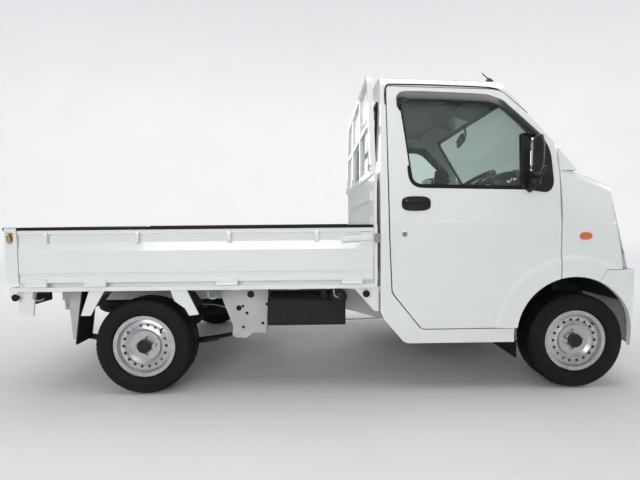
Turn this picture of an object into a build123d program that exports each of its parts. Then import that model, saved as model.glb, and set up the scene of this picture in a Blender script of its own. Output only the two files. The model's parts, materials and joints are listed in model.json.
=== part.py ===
"""Kei truck: semi-cab-over cab with a drop-side load bed.

Frame: millimetres, +X forward, +Y to the truck's left, +Z up. The origin lies on the ground
under the middle of the truck. The driver sits on the right, at negative Y.
"""

from build123d import *
import os
from math import cos, radians, sin

os.makedirs("parts", exist_ok=True)

# Overall sizes
LENGTH = 3395.0
WIDTH = 1475.0
WHEELBASE = 2350.0
FRONT_OVERHANG = 345.0
FRONT_X = LENGTH / 2
REAR_X = -LENGTH / 2
FRONT_AXLE_X = FRONT_X - FRONT_OVERHANG
REAR_AXLE_X = FRONT_AXLE_X - WHEELBASE
HALF_WIDTH = WIDTH / 2
FAR = 900.0

# Wheels and tyres
TYRE_RADIUS = 262.0
TYRE_WIDTH = 145.0
TREAD_WIDTH = 108.0
TYRE_SIDES = 72
SHOULDER_DEPTH = 22.0
WALL_DEPTH = 46.0
TRACK = 1285.0
WHEEL_Y = TRACK / 2
AXLE_Z = TYRE_RADIUS
RIM_LIP_RADIUS = 167.0
RIM_WIDTH = 116.0
RIM_WALL = 5.0
BARREL_RADIUS = 152.0
DISC_OFFSET = 44.0
HUB_RADIUS = 37.0
NUT_CIRCLE = 100.0
NUT_RADIUS = 10.0
NUT_COUNT = 4
VENT_COUNT = 18
VENT_RADIUS = 8.0
VENT_CIRCLE = 230.0
DRUM_RADIUS = 105.0
DRUM_INNER_Y = 31.0
BACKPLATE_RADIUS = 112.0
BACKPLATE_Y = WHEEL_Y - DRUM_INNER_Y - 5.5
SPINDLE_RADIUS = 17.5
RUNNING_GAP = 0.05

# Clearances
DOOR_GAP = 6.0
LID_GAP = 5.0
GATE_GAP = 6.0
SEAM_GAP = 3.0
FIT_GAP = 0.5
BODY_MOUNT = 20.0

# Cab body, placed from the front axle
CAB_REAR_X = FRONT_AXLE_X - 1073.5
CAB_REAR_LEAN = 25.0
DOOR_FRONT_X = FRONT_AXLE_X - 112.0
DOOR_BOTTOM_Z = 348.0
DOOR_SEAM_SLOPE = 0.18
DOOR_HINGE_SET = 40.0
DOOR_HINGE_INSET = 2.0
SILL_Z = 270.0
SILL_WIDTH = 110.0
BODY_Y = 729.0
BELT_Z = 930.0
COWL_Z = 1190.0
ROOF_Z = 1763.0
ROOF_FALL = 0.035
SIDE_WALL = 50.0
PANEL_WALL = 30.0
FLOOR_Z = 440.0
FLOOR_WALL = 30.0
SEAT_BASE_Z = 650.0
SEAT_BASE_FRONT_X = CAB_REAR_X + 541.0
FIREWALL_X = FRONT_AXLE_X - 62.5
FIREWALL_WALL = 20.0
FIREWALL_HALF = 640.0

# Front wheel arch, flare and wheelhouse, placed from the front axle
ARCH_RADIUS = 312.0
ARCH_X = FRONT_AXLE_X - 32.0
ARCH_Z = 308.0
ARCH_FRONT_X = FRONT_AXLE_X + 268.0
FLARE_RADIUS = 432.0
FLARE_LIP = 404.0
WHEELHOUSE_RADIUS = 330.0
WHEELHOUSE_WALL = 15.0
WHEELHOUSE_X = FRONT_AXLE_X - 10.0
WHEELHOUSE_Z = 300.0
WHEELHOUSE_INNER_Y = 408.0
WHEELHOUSE_FOOT_Z = 270.0

# Windscreen: its surface line at the side of the cab and its bulge at the middle
GLASS_TOP = (FRONT_AXLE_X - 322.5, 1602.0)
GLASS_FOOT = (FRONT_AXLE_X - 7.5, 1200.0)
GLASS_SIDE_Y = 640.0
GLASS_BULGE = 55.0
GLASS_THICK = 5.0
GLASS_INSET = 8.0
REAR_WINDOW = [(-560, 1235), (560, 1235), (520, 1600), (-520, 1600)]

# Nose and bumper
NOSE_FACE_X = FRONT_X - 32.5
NOSE_LEAN_Z = 690.0
NOSE_LEAN = 0.25
NOSE_CROWN = 25.0
NOSE_CORNER = 95.0
NOSE_FOOT_Z = 560.0
HOOD_FALL = 0.40
HOOD_REAR_X = FRONT_AXLE_X + 55.5
HOOD_HALF = 545.0
HOOD_FOOT_Z = 880.0
LAMP_TOP_Z = 965.0
LAMP_FOOT_Z = 662.0
LAMP_INNER_Y = 430.0
LAMP_DEPTH = 60.0
BUMPER_TOP_Z = 655.0
BUMPER_FOOT_Z = 242.0
BUMPER_SEAM_Z = 590.0
BUMPER_WALL = 20.0
BUMPER_CROWN = 18.0
BUMPER_CORNER = 90.0

# Load bed
BED_FLOOR_Z = 620.0
BED_FLOOR_THICK = 28.0
GATE_HEIGHT = 287.0
GATE_TOP_Z = BED_FLOOR_Z + GATE_HEIGHT
GATE_FOOT_Z = BED_FLOOR_Z - 3.0
GATE_OUTER_Y = 728.0
GATE_THICK = 28.0
HINGE_OUT = 3.0
HINGE_RADIUS = 6.5
HINGE_Z = 601.0
HINGE_LENGTH = 110.0
HINGE_LEAF = 3.0
TAIL_OUTER_X = REAR_X + HINGE_OUT + HINGE_RADIUS
TAIL_RETURN = 62.0
BED_FRONT_X = CAB_REAR_X - 17.0
BED_FRONT_THICK = 16.0
POST_REAR_X = BED_FRONT_X - BED_FRONT_THICK
BED_REAR_X = TAIL_OUTER_X + GATE_THICK + GATE_GAP
FLOOR_HALF = GATE_OUTER_Y - GATE_THICK - GATE_GAP
GATE_REAR_X = TAIL_OUTER_X + TAIL_RETURN + GATE_GAP
GATE_FRONT_X = POST_REAR_X - GATE_GAP
GATE_MIDDLE_X = (GATE_REAR_X + GATE_FRONT_X) / 2
GATE_HINGE_X = [GATE_REAR_X + 86, GATE_REAR_X + 395, GATE_MIDDLE_X + 155, GATE_FRONT_X - 114]
HINGE_Y = GATE_OUTER_Y + HINGE_OUT
TAIL_HINGE_Y = [-480.0, 0.0, 480.0]
SILL_FOOT_Z = 570.0
SILL_TOP_Z = BED_FLOOR_Z - BED_FLOOR_THICK
BED_SILL_Y = 722.0
BED_SILL_WIDTH = 32.0
BEARER_COUNT = 6
BEARER_WIDTH = 50.0
BEARER_HEIGHT = 32.0
BRACKET_Y = 702.0
BRACKET_THICK = 8.0
ARCH_BEARER_HALF = 550.0

# Guard frame behind the cab
GUARD_BAR_Z = 1192.0
GUARD_TOP_Z = 1760.0
GUARD_FOOT_Y = 689.0
GUARD_TOP_Y = 560.0
GUARD_TUBE = 30.0
GUARD_BAR = 24.0
GUARD_UPRIGHT_Y = 215.0
GUARD_MIDDLE_Z = 1482.0

# Chassis
RAIL_OUTER_Y = 385.0
RAIL_WIDTH = 50.0
RAIL_INNER_Y = RAIL_OUTER_Y - RAIL_WIDTH
RAIL_HEIGHT = 110.0
RAIL_TOP_Z = SILL_TOP_Z - BEARER_HEIGHT
CAB_RAIL_TOP_Z = FLOOR_Z - FLOOR_WALL - BODY_MOUNT
CAB_RAIL_HEIGHT = 80.0
CAB_RAIL_FOOT_Z = CAB_RAIL_TOP_Z - CAB_RAIL_HEIGHT
RAIL_REAR_X = REAR_X + 40.0
RAIL_FRONT_X = FRONT_X - 97.5
SPRING_Y = 485.0
SPRING_WIDTH = 60.0
SPRING_HALF = 480.0
SPRING_EYE_Z = 270.0
SPRING_SEAT_Z = AXLE_Z - 45.0
SPRING_EYE_RADIUS = 22.0
LEAF_THICK = 9.0
HANGER_THICK = 6.0
AXLE_TUBE_RADIUS = 32.0
TOW_EYE_RADIUS = 14.0
TOW_EYE_THICK = 12.0
TOW_EYE_DROP = 36.0

# Front suspension and steering
STEER_SLOPE = 0.2
STEER_Y = 574.0
STRUT_TOP_Z = 698.0
TOWER_TOP_Z = 714.0
TOWER_RADIUS = 76.0
ARM_TOP_Z = 184.0
ARM_THICK = 26.0
ARM_END_Y = STEER_Y
COLUMN_LEAN = 35.0
COLUMN_TOP = Vector(FRONT_AXLE_X - 472.5, -380, 1120)
COLUMN_DIR = Vector(-sin(radians(COLUMN_LEAN)), 0, cos(radians(COLUMN_LEAN)))
WHEEL_HOOP = 183.0
HOOP_RADIUS = 13.0

# Engine under the seats, fuel tank and exhaust
ENGINE_X = (CAB_REAR_X + 51.0, CAB_REAR_X + 481.0)
ENGINE_HALF = 220.0
ENGINE_Z = (345.0, 600.0)
SHAFT_RADIUS = 28.0
TANK_X = (CAB_REAR_X - 619.0, CAB_REAR_X - 179.0)
TANK_Y = (RAIL_OUTER_Y, 620.0)
TANK_Z = (335.0, 500.0)
PIPE_RADIUS = 18.0
MUFFLER_RADIUS = 62.0
SPARE_X = REAR_AXLE_X - 372.0
SPARE_Z = 395.0


def write(piece, node):
    """Labels a finished piece and writes it as one STEP file."""
    piece.part.label = node
    export_step(piece.part, f"parts/{node}.step")


def write_pair(piece, node):
    """Writes a right-hand piece and its mirror image as two nodes."""
    write(piece, f"{node}_right")
    with BuildPart() as twin:
        add(mirror(piece.part, about=Plane.XZ, mode=Mode.PRIVATE))
    write(twin, f"{node}_left")


def ahead(corners, datum=FRONT_AXLE_X):
    """Corners whose X is measured forward from a datum, the front axle unless one is named."""
    return [(datum + x, z) for x, z in corners]


def slab(x0, x1, y0, y1, z0, z1, mode=Mode.ADD):
    """A box between two corners, inside the builder that is open."""
    with Locations(((x0 + x1) / 2, (y0 + y1) / 2, (z0 + z1) / 2)):
        Box(abs(x1 - x0), abs(y1 - y0), abs(z1 - z0), mode=mode)


def outline_on(plane, corners, radii=None):
    """A closed flat outline on a plane, with its corners rounded where radii are given."""
    with BuildSketch(plane) as outline:
        with BuildLine():
            if radii:
                FilletPolyline(corners, radius=radii, close=True)
            else:
                Polyline(corners, close=True)
        make_face()
    return outline.sketch


def prism_xz(corners, y0, y1, radii=None, mode=Mode.ADD):
    """Extrudes an outline in X and Z, with rounded corners, from the lower y to the higher."""
    low, high = sorted((y0, y1))
    extrude(outline_on(Plane.XZ.offset(-low), corners, radii), amount=low - high, mode=mode)


def prism_yz(corners, x0, x1, radii=None, mode=Mode.ADD):
    """Extrudes an outline in Y and Z from x0 to x1."""
    extrude(outline_on(Plane.YZ.offset(x0), corners, radii), amount=x1 - x0, mode=mode)


def rod(start, end, radius, mode=Mode.ADD):
    """A round bar between two points."""
    start, end = Vector(*start), Vector(*end)
    axis = end - start
    with BuildSketch(Plane(origin=start, z_dir=axis)) as disc:
        Circle(radius)
    extrude(disc.sketch, amount=axis.length, mode=mode)


def cylinder_y(x, z, y0, y1, radius, mode=Mode.ADD):
    """A round bar along Y."""
    rod((x, y0, z), (x, y1, z), radius, mode)


def both(form):
    """A right-hand form and its mirror image, for adding or cutting one after the other."""
    return [form, mirror(form, about=Plane.XZ, mode=Mode.PRIVATE)]


def cabin_section(inset):
    """Outline of the cabin in Y and Z, seen from ahead, inset by a wall."""
    side = BODY_Y - inset
    top = ROOF_Z - inset
    shoulder = (616 - inset, 1665 - inset / 2)
    edge = (545 - inset, top - 23)
    with BuildSketch(Plane.YZ.offset(CAB_REAR_X - 10)) as section:
        with BuildLine():
            Polyline((0, SILL_Z - 200), (side, SILL_Z - 200), (side, BELT_Z))
            ThreePointArc((side, BELT_Z), (688 - inset, 1300), shoulder)
            ThreePointArc(shoulder, (592 - inset, 1712 - inset), edge)
            ThreePointArc(edge, (275, top - 6), (0, top))
            mirror(about=Plane.YZ)
        make_face()
    return section.sketch


def glass_cylinder(depth):
    """A very large cylinder whose surface is the windscreen, set in by a depth."""
    top = Vector(GLASS_TOP[0], 0, GLASS_TOP[1])
    foot = Vector(GLASS_FOOT[0], 0, GLASS_FOOT[1])
    slope = (foot - top).normalized()
    outward = slope.cross(Vector(0, 1, 0))
    radius = (GLASS_SIDE_Y**2 + GLASS_BULGE**2) / (2 * GLASS_BULGE)
    centre = (top + foot) * 0.5 + outward * (GLASS_BULGE - radius)
    base = Plane(origin=centre - slope * 1600, x_dir=(0, 1, 0), z_dir=slope)
    return Solid.make_cylinder(radius - depth, 3200, base)


def cabin_core(inset):
    """The cabin's side and roof lines as a long block, inset by a wall."""
    reach = FRONT_X - CAB_REAR_X
    with BuildPart() as core:
        extrude(cabin_section(inset), amount=reach, dir=(1, 0, -ROOF_FALL))
    return core.part


def cabin_solid(inset, foot):
    """The cabin's outer form from a height up, or its hollow when inset by a wall."""
    rear = CAB_REAR_X + inset
    lower_front = DOOR_FRONT_X + DOOR_GAP
    head = ROOF_Z + 60
    side_view = [
        (rear, foot),
        (rear, 1150),
        (rear + CAB_REAR_LEAN, head),
        (FRONT_X, head),
        (FRONT_X, COWL_Z),
        (lower_front, COWL_Z),
        (lower_front, foot),
    ]
    with BuildPart() as form:
        prism_xz(side_view, -FAR, FAR)
        add(cabin_core(inset), mode=Mode.INTERSECT)
        add(glass_cylinder(inset), mode=Mode.INTERSECT)
    return form.part


def front_plan(face, side, crown, corner, height):
    """Plan outline of the nose or bumper: a gently bowed face with round corners."""
    back = DOOR_FRONT_X - 340
    with BuildSketch(Plane.XY.offset(height)) as plan:
        with BuildLine():
            Polyline((face - crown, side), (back, side), (back, -side), (face - crown, -side))
            ThreePointArc((face - crown, -side), (face, 0), (face - crown, side))
        make_face()
        fillet(plan.vertices().group_by(Axis.X)[-1], radius=corner)
    return plan.sketch


def nose_section(inset):
    """Outline of the nose in Y and Z at the back of the hood."""
    side = BODY_Y - inset
    belt = (side, 896)
    bend = (700 - inset, 1165)
    edge = (630 - inset, 1236 - inset)
    with BuildSketch(Plane.YZ.offset(DOOR_FRONT_X)) as section:
        with BuildLine():
            Polyline((0, -400), (side, -400), belt)
            ThreePointArc(belt, (722 - inset, 1050), bend)
            ThreePointArc(bend, (683 - inset, 1212 - inset), edge)
            Line(edge, (0, 1250 - inset))
            mirror(about=Plane.YZ)
        make_face()
    return section.sketch


def nose_solid(inset):
    """The nose ahead of the doors: hood slope, shoulders and leaning face."""
    rear = DOOR_FRONT_X + DOOR_GAP - inset
    face = NOSE_FACE_X - inset
    profile = [
        (rear, COWL_Z - inset),
        (GLASS_FOOT[0], COWL_Z - inset),
        (face - 112, 1110 - inset),
        (face - 40, 890),
        (face - 5, 720),
        (face - 11, NOSE_FOOT_Z),
        (rear, NOSE_FOOT_Z),
    ]
    plan_z = NOSE_LEAN_Z - 200
    plan_face = face + 200 * NOSE_LEAN
    with BuildPart() as form:
        prism_xz(profile, -FAR, FAR, radii=[0, 120, 70, 500, 40, 0, 0])
        extrude(nose_section(inset), amount=600, dir=(1, 0, -HOOD_FALL), mode=Mode.INTERSECT)
        plan = front_plan(plan_face, BODY_Y - inset, NOSE_CROWN, NOSE_CORNER - inset, plan_z)
        extrude(plan, amount=900, dir=(-NOSE_LEAN, 0, 1), mode=Mode.INTERSECT)
    return form.part


def bumper_solid(inset):
    """The bumper's outer form, or its hollow when inset by a wall."""
    foot = BUMPER_FOOT_Z - (FAR if inset else 0)
    top = BUMPER_TOP_Z - inset
    face = FRONT_X - inset
    rear = DOOR_FRONT_X - 40
    profile = [
        (rear, foot),
        (face - 22, foot),
        (face - 10, 300),
        (face, 540),
        (face - 8, 600 - inset / 2),
        (face - 40, top),
        (rear, top),
    ]
    with BuildPart() as form:
        prism_xz(profile, -FAR, FAR, radii=[0, 0, 100, 60, 30, 12, 0])
        plan = front_plan(face, HALF_WIDTH - inset, BUMPER_CROWN, BUMPER_CORNER - inset, foot)
        extrude(plan, amount=top - foot, mode=Mode.INTERSECT)
    return form.part


def flare_ring():
    """The raised flare round the right front wheel arch, as a turned ring."""
    inner = -BODY_Y + 20
    core = 200
    section = [
        (core, inner),
        (FLARE_RADIUS, inner),
        (FLARE_RADIUS, -BODY_Y),
        (FLARE_LIP, -HALF_WIDTH),
        (core, -HALF_WIDTH),
    ]
    centre = (ARCH_X, 0, ARCH_Z)
    reach = FLARE_RADIUS + 20
    with BuildPart() as ring:
        with BuildSketch(Plane(centre)):
            with BuildLine():
                Polyline(section, close=True)
            make_face()
        revolve(axis=Axis(centre, (0, 1, 0)), revolution_arc=360)
        low = ARCH_Z - reach
        slab(ARCH_X - reach, ARCH_X + reach, -FAR, 0, low, DOOR_BOTTOM_Z, mode=Mode.SUBTRACT)
        slab(ARCH_FRONT_X, ARCH_X + reach, -FAR, 0, low, FAR, mode=Mode.SUBTRACT)
    return ring.part


# Door outline and window, X from the front axle and Z, and how far each corner is rounded
DOOR_CORNERS = ahead(
    [
        (-1042.5, 1666.0),
        (-412.5, 1645.0),
        (-140.5, 1378.0),
        (-115.5, 1180.0),
        (-112.0, 900.0),
        (-112.0, DOOR_BOTTOM_Z),
        (-852.5, DOOR_BOTTOM_Z),
        (-1010.5, 545.0),
        (-1022.5, 830.0),
    ]
)
DOOR_RADII = [14, 110, 60, 200, 300, 5, 40, 60, 600]
WINDOW_CORNERS = ahead(
    [(-959.5, 1606), (-407.5, 1592), (-174.5, 1352), (-202.5, 1095), (-905.5, 1112)]
)
WINDOW_RADII = [30, 50, 50, 30, 60]


def door_block(grow, inner_y):
    """The door's outline as a block that runs slightly forward as it goes inboard."""
    with BuildSketch(Plane.XZ.offset(BODY_Y)) as outline:
        with BuildLine():
            FilletPolyline(DOOR_CORNERS, radius=DOOR_RADII, close=True)
        make_face()
        if grow:
            offset(amount=grow, kind=Kind.ARC, mode=Mode.REPLACE)
    run = (BODY_Y - inner_y) * (1 + DOOR_SEAM_SLOPE**2) ** 0.5
    with BuildPart() as block:
        extrude(outline.sketch, amount=run, dir=(DOOR_SEAM_SLOPE, 1, 0))
        extrude(outline.sketch, amount=80, dir=(-DOOR_SEAM_SLOPE, -1, 0))
    return block.part


def glass_block(trim):
    """The windscreen opening as a block seen from ahead, trimmed by a gap on every side."""
    corners = [(-640, 1228), (640, 1228), (540, 1626), (-540, 1626)]
    with BuildSketch(Plane.YZ.offset(GLASS_TOP[0] - 130)) as outline:
        with BuildLine():
            FilletPolyline(corners, radius=[40, 40, 50, 50], close=True)
        make_face()
        if trim:
            offset(amount=-trim, mode=Mode.REPLACE)
    with BuildPart() as block:
        extrude(outline.sketch, amount=700)
    return block.part


def lamp_block(grow):
    """The space of the right headlamp, grown by a gap on every side."""
    top = LAMP_TOP_Z + grow
    foot = LAMP_FOOT_Z - grow
    rear = NOSE_FACE_X - 114 - grow
    ahead_x = FRONT_X + 200
    corners = [(rear, top), (ahead_x, top), (ahead_x, foot), (rear + 32, foot)]
    with BuildPart() as block:
        prism_xz(corners, -FAR, -LAMP_INNER_Y + grow)
    return block.part


def hood_block(shrink):
    """The hood's outline from ahead, down to its foot between the headlamps."""
    half = HOOD_HALF - shrink
    foot = HOOD_FOOT_Z + shrink
    inner = LAMP_INNER_Y - 20 - shrink
    step = LAMP_TOP_Z + 15 + shrink
    head = COWL_Z + 210
    corners = [
        (-half, head),
        (-half, step),
        (-inner, step - 10),
        (-inner, foot),
        (inner, foot),
        (inner, step - 10),
        (half, step),
        (half, head),
    ]
    with BuildPart() as block:
        prism_yz(corners, HOOD_REAR_X + shrink, FRONT_X + 200)
    return block.part


def bumper_block(grow):
    """The space below the seam between the bumper and the fenders."""
    rear = FRONT_X - 248.5 - grow
    top = BUMPER_TOP_Z + grow
    ahead_x = FRONT_X + 200
    corners = [
        (rear, BUMPER_SEAM_Z),
        (rear + 42, top),
        (ahead_x, top),
        (ahead_x, 0),
        (rear, 0),
    ]
    with BuildPart() as block:
        prism_xz(corners, -FAR, FAR)
    return block.part


def wheelhouse(inner_y, outer_y, radius):
    """The space of the right wheelhouse as a drum along Y, grown to a radius."""
    with BuildPart() as drum:
        cylinder_y(WHEELHOUSE_X, WHEELHOUSE_Z, -inner_y, -outer_y, radius)
    return drum.part


def steer_point(z):
    """The point of the right steering axis at a height."""
    return (FRONT_AXLE_X, -STEER_Y + STEER_SLOPE * (z - AXLE_Z), z)


def steer_drum(foot, head, radius):
    """A drum round the right steering axis between two heights."""
    with BuildPart() as drum:
        rod(steer_point(foot), steer_point(head), radius)
    return drum.part


cabin_outer = cabin_solid(0, SILL_Z)
cabin_inner = cabin_solid(SIDE_WALL, FLOOR_Z)
nose_outer = nose_solid(0)
nose_inner = nose_solid(PANEL_WALL)
right_flare = flare_ring()
arch = Solid.make_cylinder(ARCH_RADIUS, 300, Plane((ARCH_X, -FAR, ARCH_Z), z_dir=(0, 1, 0)))

# Doors: the whole side wall, with the window opening cut and the flare carried across
DOOR_INNER_Y = BODY_Y - SIDE_WALL
DOOR_HINGE_X = DOOR_FRONT_X - DOOR_HINGE_SET
DOOR_HINGE_Y = BODY_Y - DOOR_HINGE_INSET
DOOR_SWEEP = 88.0
PILLAR_SWEEP = 118.0
with BuildPart() as side_wall:
    add(cabin_outer)
    add(right_flare)
    add(cabin_core(SIDE_WALL), mode=Mode.SUBTRACT)
with BuildPart() as door:
    add(door_block(0, 500))
    add(side_wall.part, mode=Mode.INTERSECT)
    add(arch, mode=Mode.SUBTRACT)
    prism_xz(WINDOW_CORNERS, -FAR, -400, radii=WINDOW_RADII, mode=Mode.SUBTRACT)
write_pair(door, "door")

# Space that the door's leading edge needs as it swings in, and the opening it leaves
with BuildPart() as pillar_room:
    with Locations((DOOR_HINGE_X, -DOOR_HINGE_Y, COWL_Z)):
        Cylinder(PILLAR_SWEEP, 210, align=(Align.CENTER, Align.CENTER, Align.MIN))
    slab(DOOR_FRONT_X + DOOR_GAP, FRONT_X, -FAR, 0, 0, ROOF_Z, mode=Mode.SUBTRACT)
with BuildPart() as door_room:
    add(door_block(DOOR_GAP, 500))
    add(cabin_core(SIDE_WALL + DOOR_GAP), mode=Mode.SUBTRACT)
    with Locations((DOOR_HINGE_X, -DOOR_HINGE_Y, DOOR_BOTTOM_Z)):
        Cylinder(
            DOOR_SWEEP,
            COWL_Z + 200 - DOOR_BOTTOM_Z,
            align=(Align.CENTER, Align.CENTER, Align.MIN),
        )
    add(pillar_room.part)
    slab(
        DOOR_FRONT_X + DOOR_GAP,
        FRONT_X,
        -FAR,
        -DOOR_INNER_Y + DOOR_GAP,
        0,
        ROOF_Z + 100,
        mode=Mode.SUBTRACT,
    )

with BuildPart() as door_glass:
    prism_xz(WINDOW_CORNERS, -FAR, -500, radii=WINDOW_RADII)
    add(cabin_solid(20, FLOOR_Z), mode=Mode.INTERSECT)
    add(cabin_solid(24, FLOOR_Z), mode=Mode.SUBTRACT)
write_pair(door_glass, "door_glass")

# Door mirror: a slim upright head on a short arm, X from the front axle and Z
MIRROR_HEAD = ahead(
    [(-309, 1342), (-234, 1346), (-224, 1205), (-252, 1146), (-300, 1150)]
)
MIRROR_ARM = ahead([(-290, 1190), (-254, 1190), (-262, 1080), (-292, 1080)])
with BuildPart() as door_mirror:
    prism_xz(MIRROR_HEAD, -868, -758, radii=[25, 12, 60, 30, 25])
    prism_xz(MIRROR_ARM, -790, -BODY_Y + 20)
    add(cabin_outer, mode=Mode.SUBTRACT)
write_pair(door_mirror, "door_mirror")

# Cab shell: roof, pillars, rear wall, floor, sills, seat base and firewall
SEAT_BASE_HALF = BODY_Y - SIDE_WALL - DOOR_GAP
REAR_CORNER_CUT = ahead(
    [(-30, 452), (-2, 447), (18, 402), (122, 279), (146, SILL_Z), (146, 150), (-30, 150)],
    CAB_REAR_X,
)
with BuildPart() as cab:
    add(cabin_outer)
    add(cabin_inner, mode=Mode.SUBTRACT)
    prism_xz(REAR_CORNER_CUT, -FAR, FAR, mode=Mode.SUBTRACT)
    under_half = BODY_Y - SILL_WIDTH
    under_z = FLOOR_Z - FLOOR_WALL
    slab(CAB_REAR_X - 50, FRONT_X, -under_half, under_half, 0, under_z, mode=Mode.SUBTRACT)
    for block in both(door_room.part):
        add(block, mode=Mode.SUBTRACT)
    add(glass_block(0), mode=Mode.SUBTRACT)
    prism_yz(
        REAR_WINDOW, CAB_REAR_X - 80, CAB_REAR_X + 120, radii=[40] * 4, mode=Mode.SUBTRACT
    )
    firewall_front = FIREWALL_X + FIREWALL_WALL
    slab(FIREWALL_X - 60, firewall_front, -FIREWALL_HALF, FIREWALL_HALF, under_z, FLOOR_Z)
    slab(
        FIREWALL_X,
        firewall_front,
        -FIREWALL_HALF,
        FIREWALL_HALF,
        FLOOR_Z,
        COWL_Z - PANEL_WALL,
    )
    wall_x = CAB_REAR_X + SIDE_WALL
    front_x = SEAT_BASE_FRONT_X
    half = SEAT_BASE_HALF
    slab(wall_x, front_x, -half, half, SEAT_BASE_Z - 30, SEAT_BASE_Z)
    slab(front_x - 30, front_x, -half, half, FLOOR_Z, SEAT_BASE_Z)
    hole = ENGINE_HALF + 30
    slab(wall_x, front_x - 30, -hole, hole, under_z, FLOOR_Z, mode=Mode.SUBTRACT)
    house_inner = WHEELHOUSE_INNER_Y - WHEELHOUSE_WALL - FIT_GAP
    house_radius = WHEELHOUSE_RADIUS + WHEELHOUSE_WALL + FIT_GAP
    for room in both(wheelhouse(house_inner, FAR, house_radius)):
        add(room, mode=Mode.SUBTRACT)
    for room in both(steer_drum(400, TOWER_TOP_Z, TOWER_RADIUS + FIT_GAP)):
        add(room, mode=Mode.SUBTRACT)
write(cab, "cab_shell")

with BuildPart() as windscreen:
    add(glass_block(FIT_GAP))
    add(glass_cylinder(GLASS_INSET), mode=Mode.INTERSECT)
    add(glass_cylinder(GLASS_INSET + GLASS_THICK), mode=Mode.SUBTRACT)
write(windscreen, "windscreen")

with BuildPart() as rear_glass:
    prism_yz(REAR_WINDOW, CAB_REAR_X + 29, CAB_REAR_X + 34, radii=[40] * 4)
write(rear_glass, "rear_glass")

# Front panel: cowl, fenders and nose, with the wheelhouses and strut towers behind the fenders
with BuildPart() as house:
    inner = WHEELHOUSE_INNER_Y - WHEELHOUSE_WALL
    outer = BODY_Y - PANEL_WALL
    add(wheelhouse(inner, outer, WHEELHOUSE_RADIUS + WHEELHOUSE_WALL))
    add(wheelhouse(WHEELHOUSE_INNER_Y, FAR, WHEELHOUSE_RADIUS), mode=Mode.SUBTRACT)
    slab(0, FRONT_X + 200, -FAR, FAR, -100, WHEELHOUSE_FOOT_Z, mode=Mode.SUBTRACT)
    slab(ARCH_FRONT_X, FRONT_X + 200, -FAR, FAR, 0, FAR, mode=Mode.SUBTRACT)
with BuildPart() as front_panel:
    add(nose_outer)
    add(nose_inner, mode=Mode.SUBTRACT)
    slab(
        0,
        FRONT_X + 200,
        -BODY_Y + PANEL_WALL,
        BODY_Y - PANEL_WALL,
        0,
        NOSE_FOOT_Z + 40,
        mode=Mode.SUBTRACT,
    )
    for flare in both(right_flare):
        add(flare)
    slab(0, DOOR_FRONT_X + DOOR_GAP, -FAR, FAR, 0, ROOF_Z + 100, mode=Mode.SUBTRACT)
    for block in both(door_block(DOOR_GAP, DOOR_INNER_Y - DOOR_GAP)):
        add(block, mode=Mode.SUBTRACT)
    add(hood_block(0), mode=Mode.SUBTRACT)
    add(bumper_block(SEAM_GAP), mode=Mode.SUBTRACT)
    for block in both(lamp_block(SEAM_GAP)):
        add(block, mode=Mode.SUBTRACT)
    for drum in both(house.part):
        add(drum)
    for tower in both(steer_drum(600, TOWER_TOP_Z - 1, TOWER_RADIUS)):
        add(tower)
    for room in both(steer_drum(480, STRUT_TOP_Z + 1, TOWER_RADIUS - 10)):
        add(room, mode=Mode.SUBTRACT)
    for block in both(door_room.part):
        add(block, mode=Mode.SUBTRACT)
    for cut in both(arch):
        add(cut, mode=Mode.SUBTRACT)
write(front_panel, "front_panel")

with BuildPart() as hood:
    add(nose_outer)
    add(nose_inner, mode=Mode.SUBTRACT)
    add(hood_block(LID_GAP), mode=Mode.INTERSECT)
write(hood, "hood")

with BuildPart() as headlamp:
    add(nose_outer)
    add(nose_solid(LAMP_DEPTH), mode=Mode.SUBTRACT)
    add(lamp_block(0), mode=Mode.INTERSECT)
write_pair(headlamp, "headlamp")

with BuildPart() as bumper:
    add(bumper_solid(0))
    add(bumper_solid(BUMPER_WALL), mode=Mode.SUBTRACT)
    slab(0, ARCH_FRONT_X, -FAR, FAR, 0, ARCH_Z + 75, mode=Mode.SUBTRACT)
    add(bumper_block(0), mode=Mode.INTERSECT)
    for cut in both(arch):
        add(cut, mode=Mode.SUBTRACT)
write(bumper, "bumper")

# Plates that hang below the bed sill: X from a datum, and Z
SILL_PLATES = {
    "arch rear strut": (
        REAR_AXLE_X,
        [(-281, SILL_FOOT_Z), (-200, SILL_FOOT_Z), (-279, 434), (-330, 434)],
    ),
    "arch front strut": (
        REAR_AXLE_X,
        [
            (150, SILL_FOOT_Z),
            (236, SILL_FOOT_Z),
            (299, 434),
            (248, 428),
            (226, 468),
            (171, 509),
        ],
    ),
    "rear bracket": (
        TAIL_OUTER_X,
        [(34, SILL_FOOT_Z), (128, SILL_FOOT_Z), (124, 552), (108, 434), (36, 434)],
    ),
    "front gusset": (
        BED_FRONT_X,
        [(-125, SILL_FOOT_Z), (10, SILL_FOOT_Z), (10, 440), (-14, 440)],
    ),
}

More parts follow.
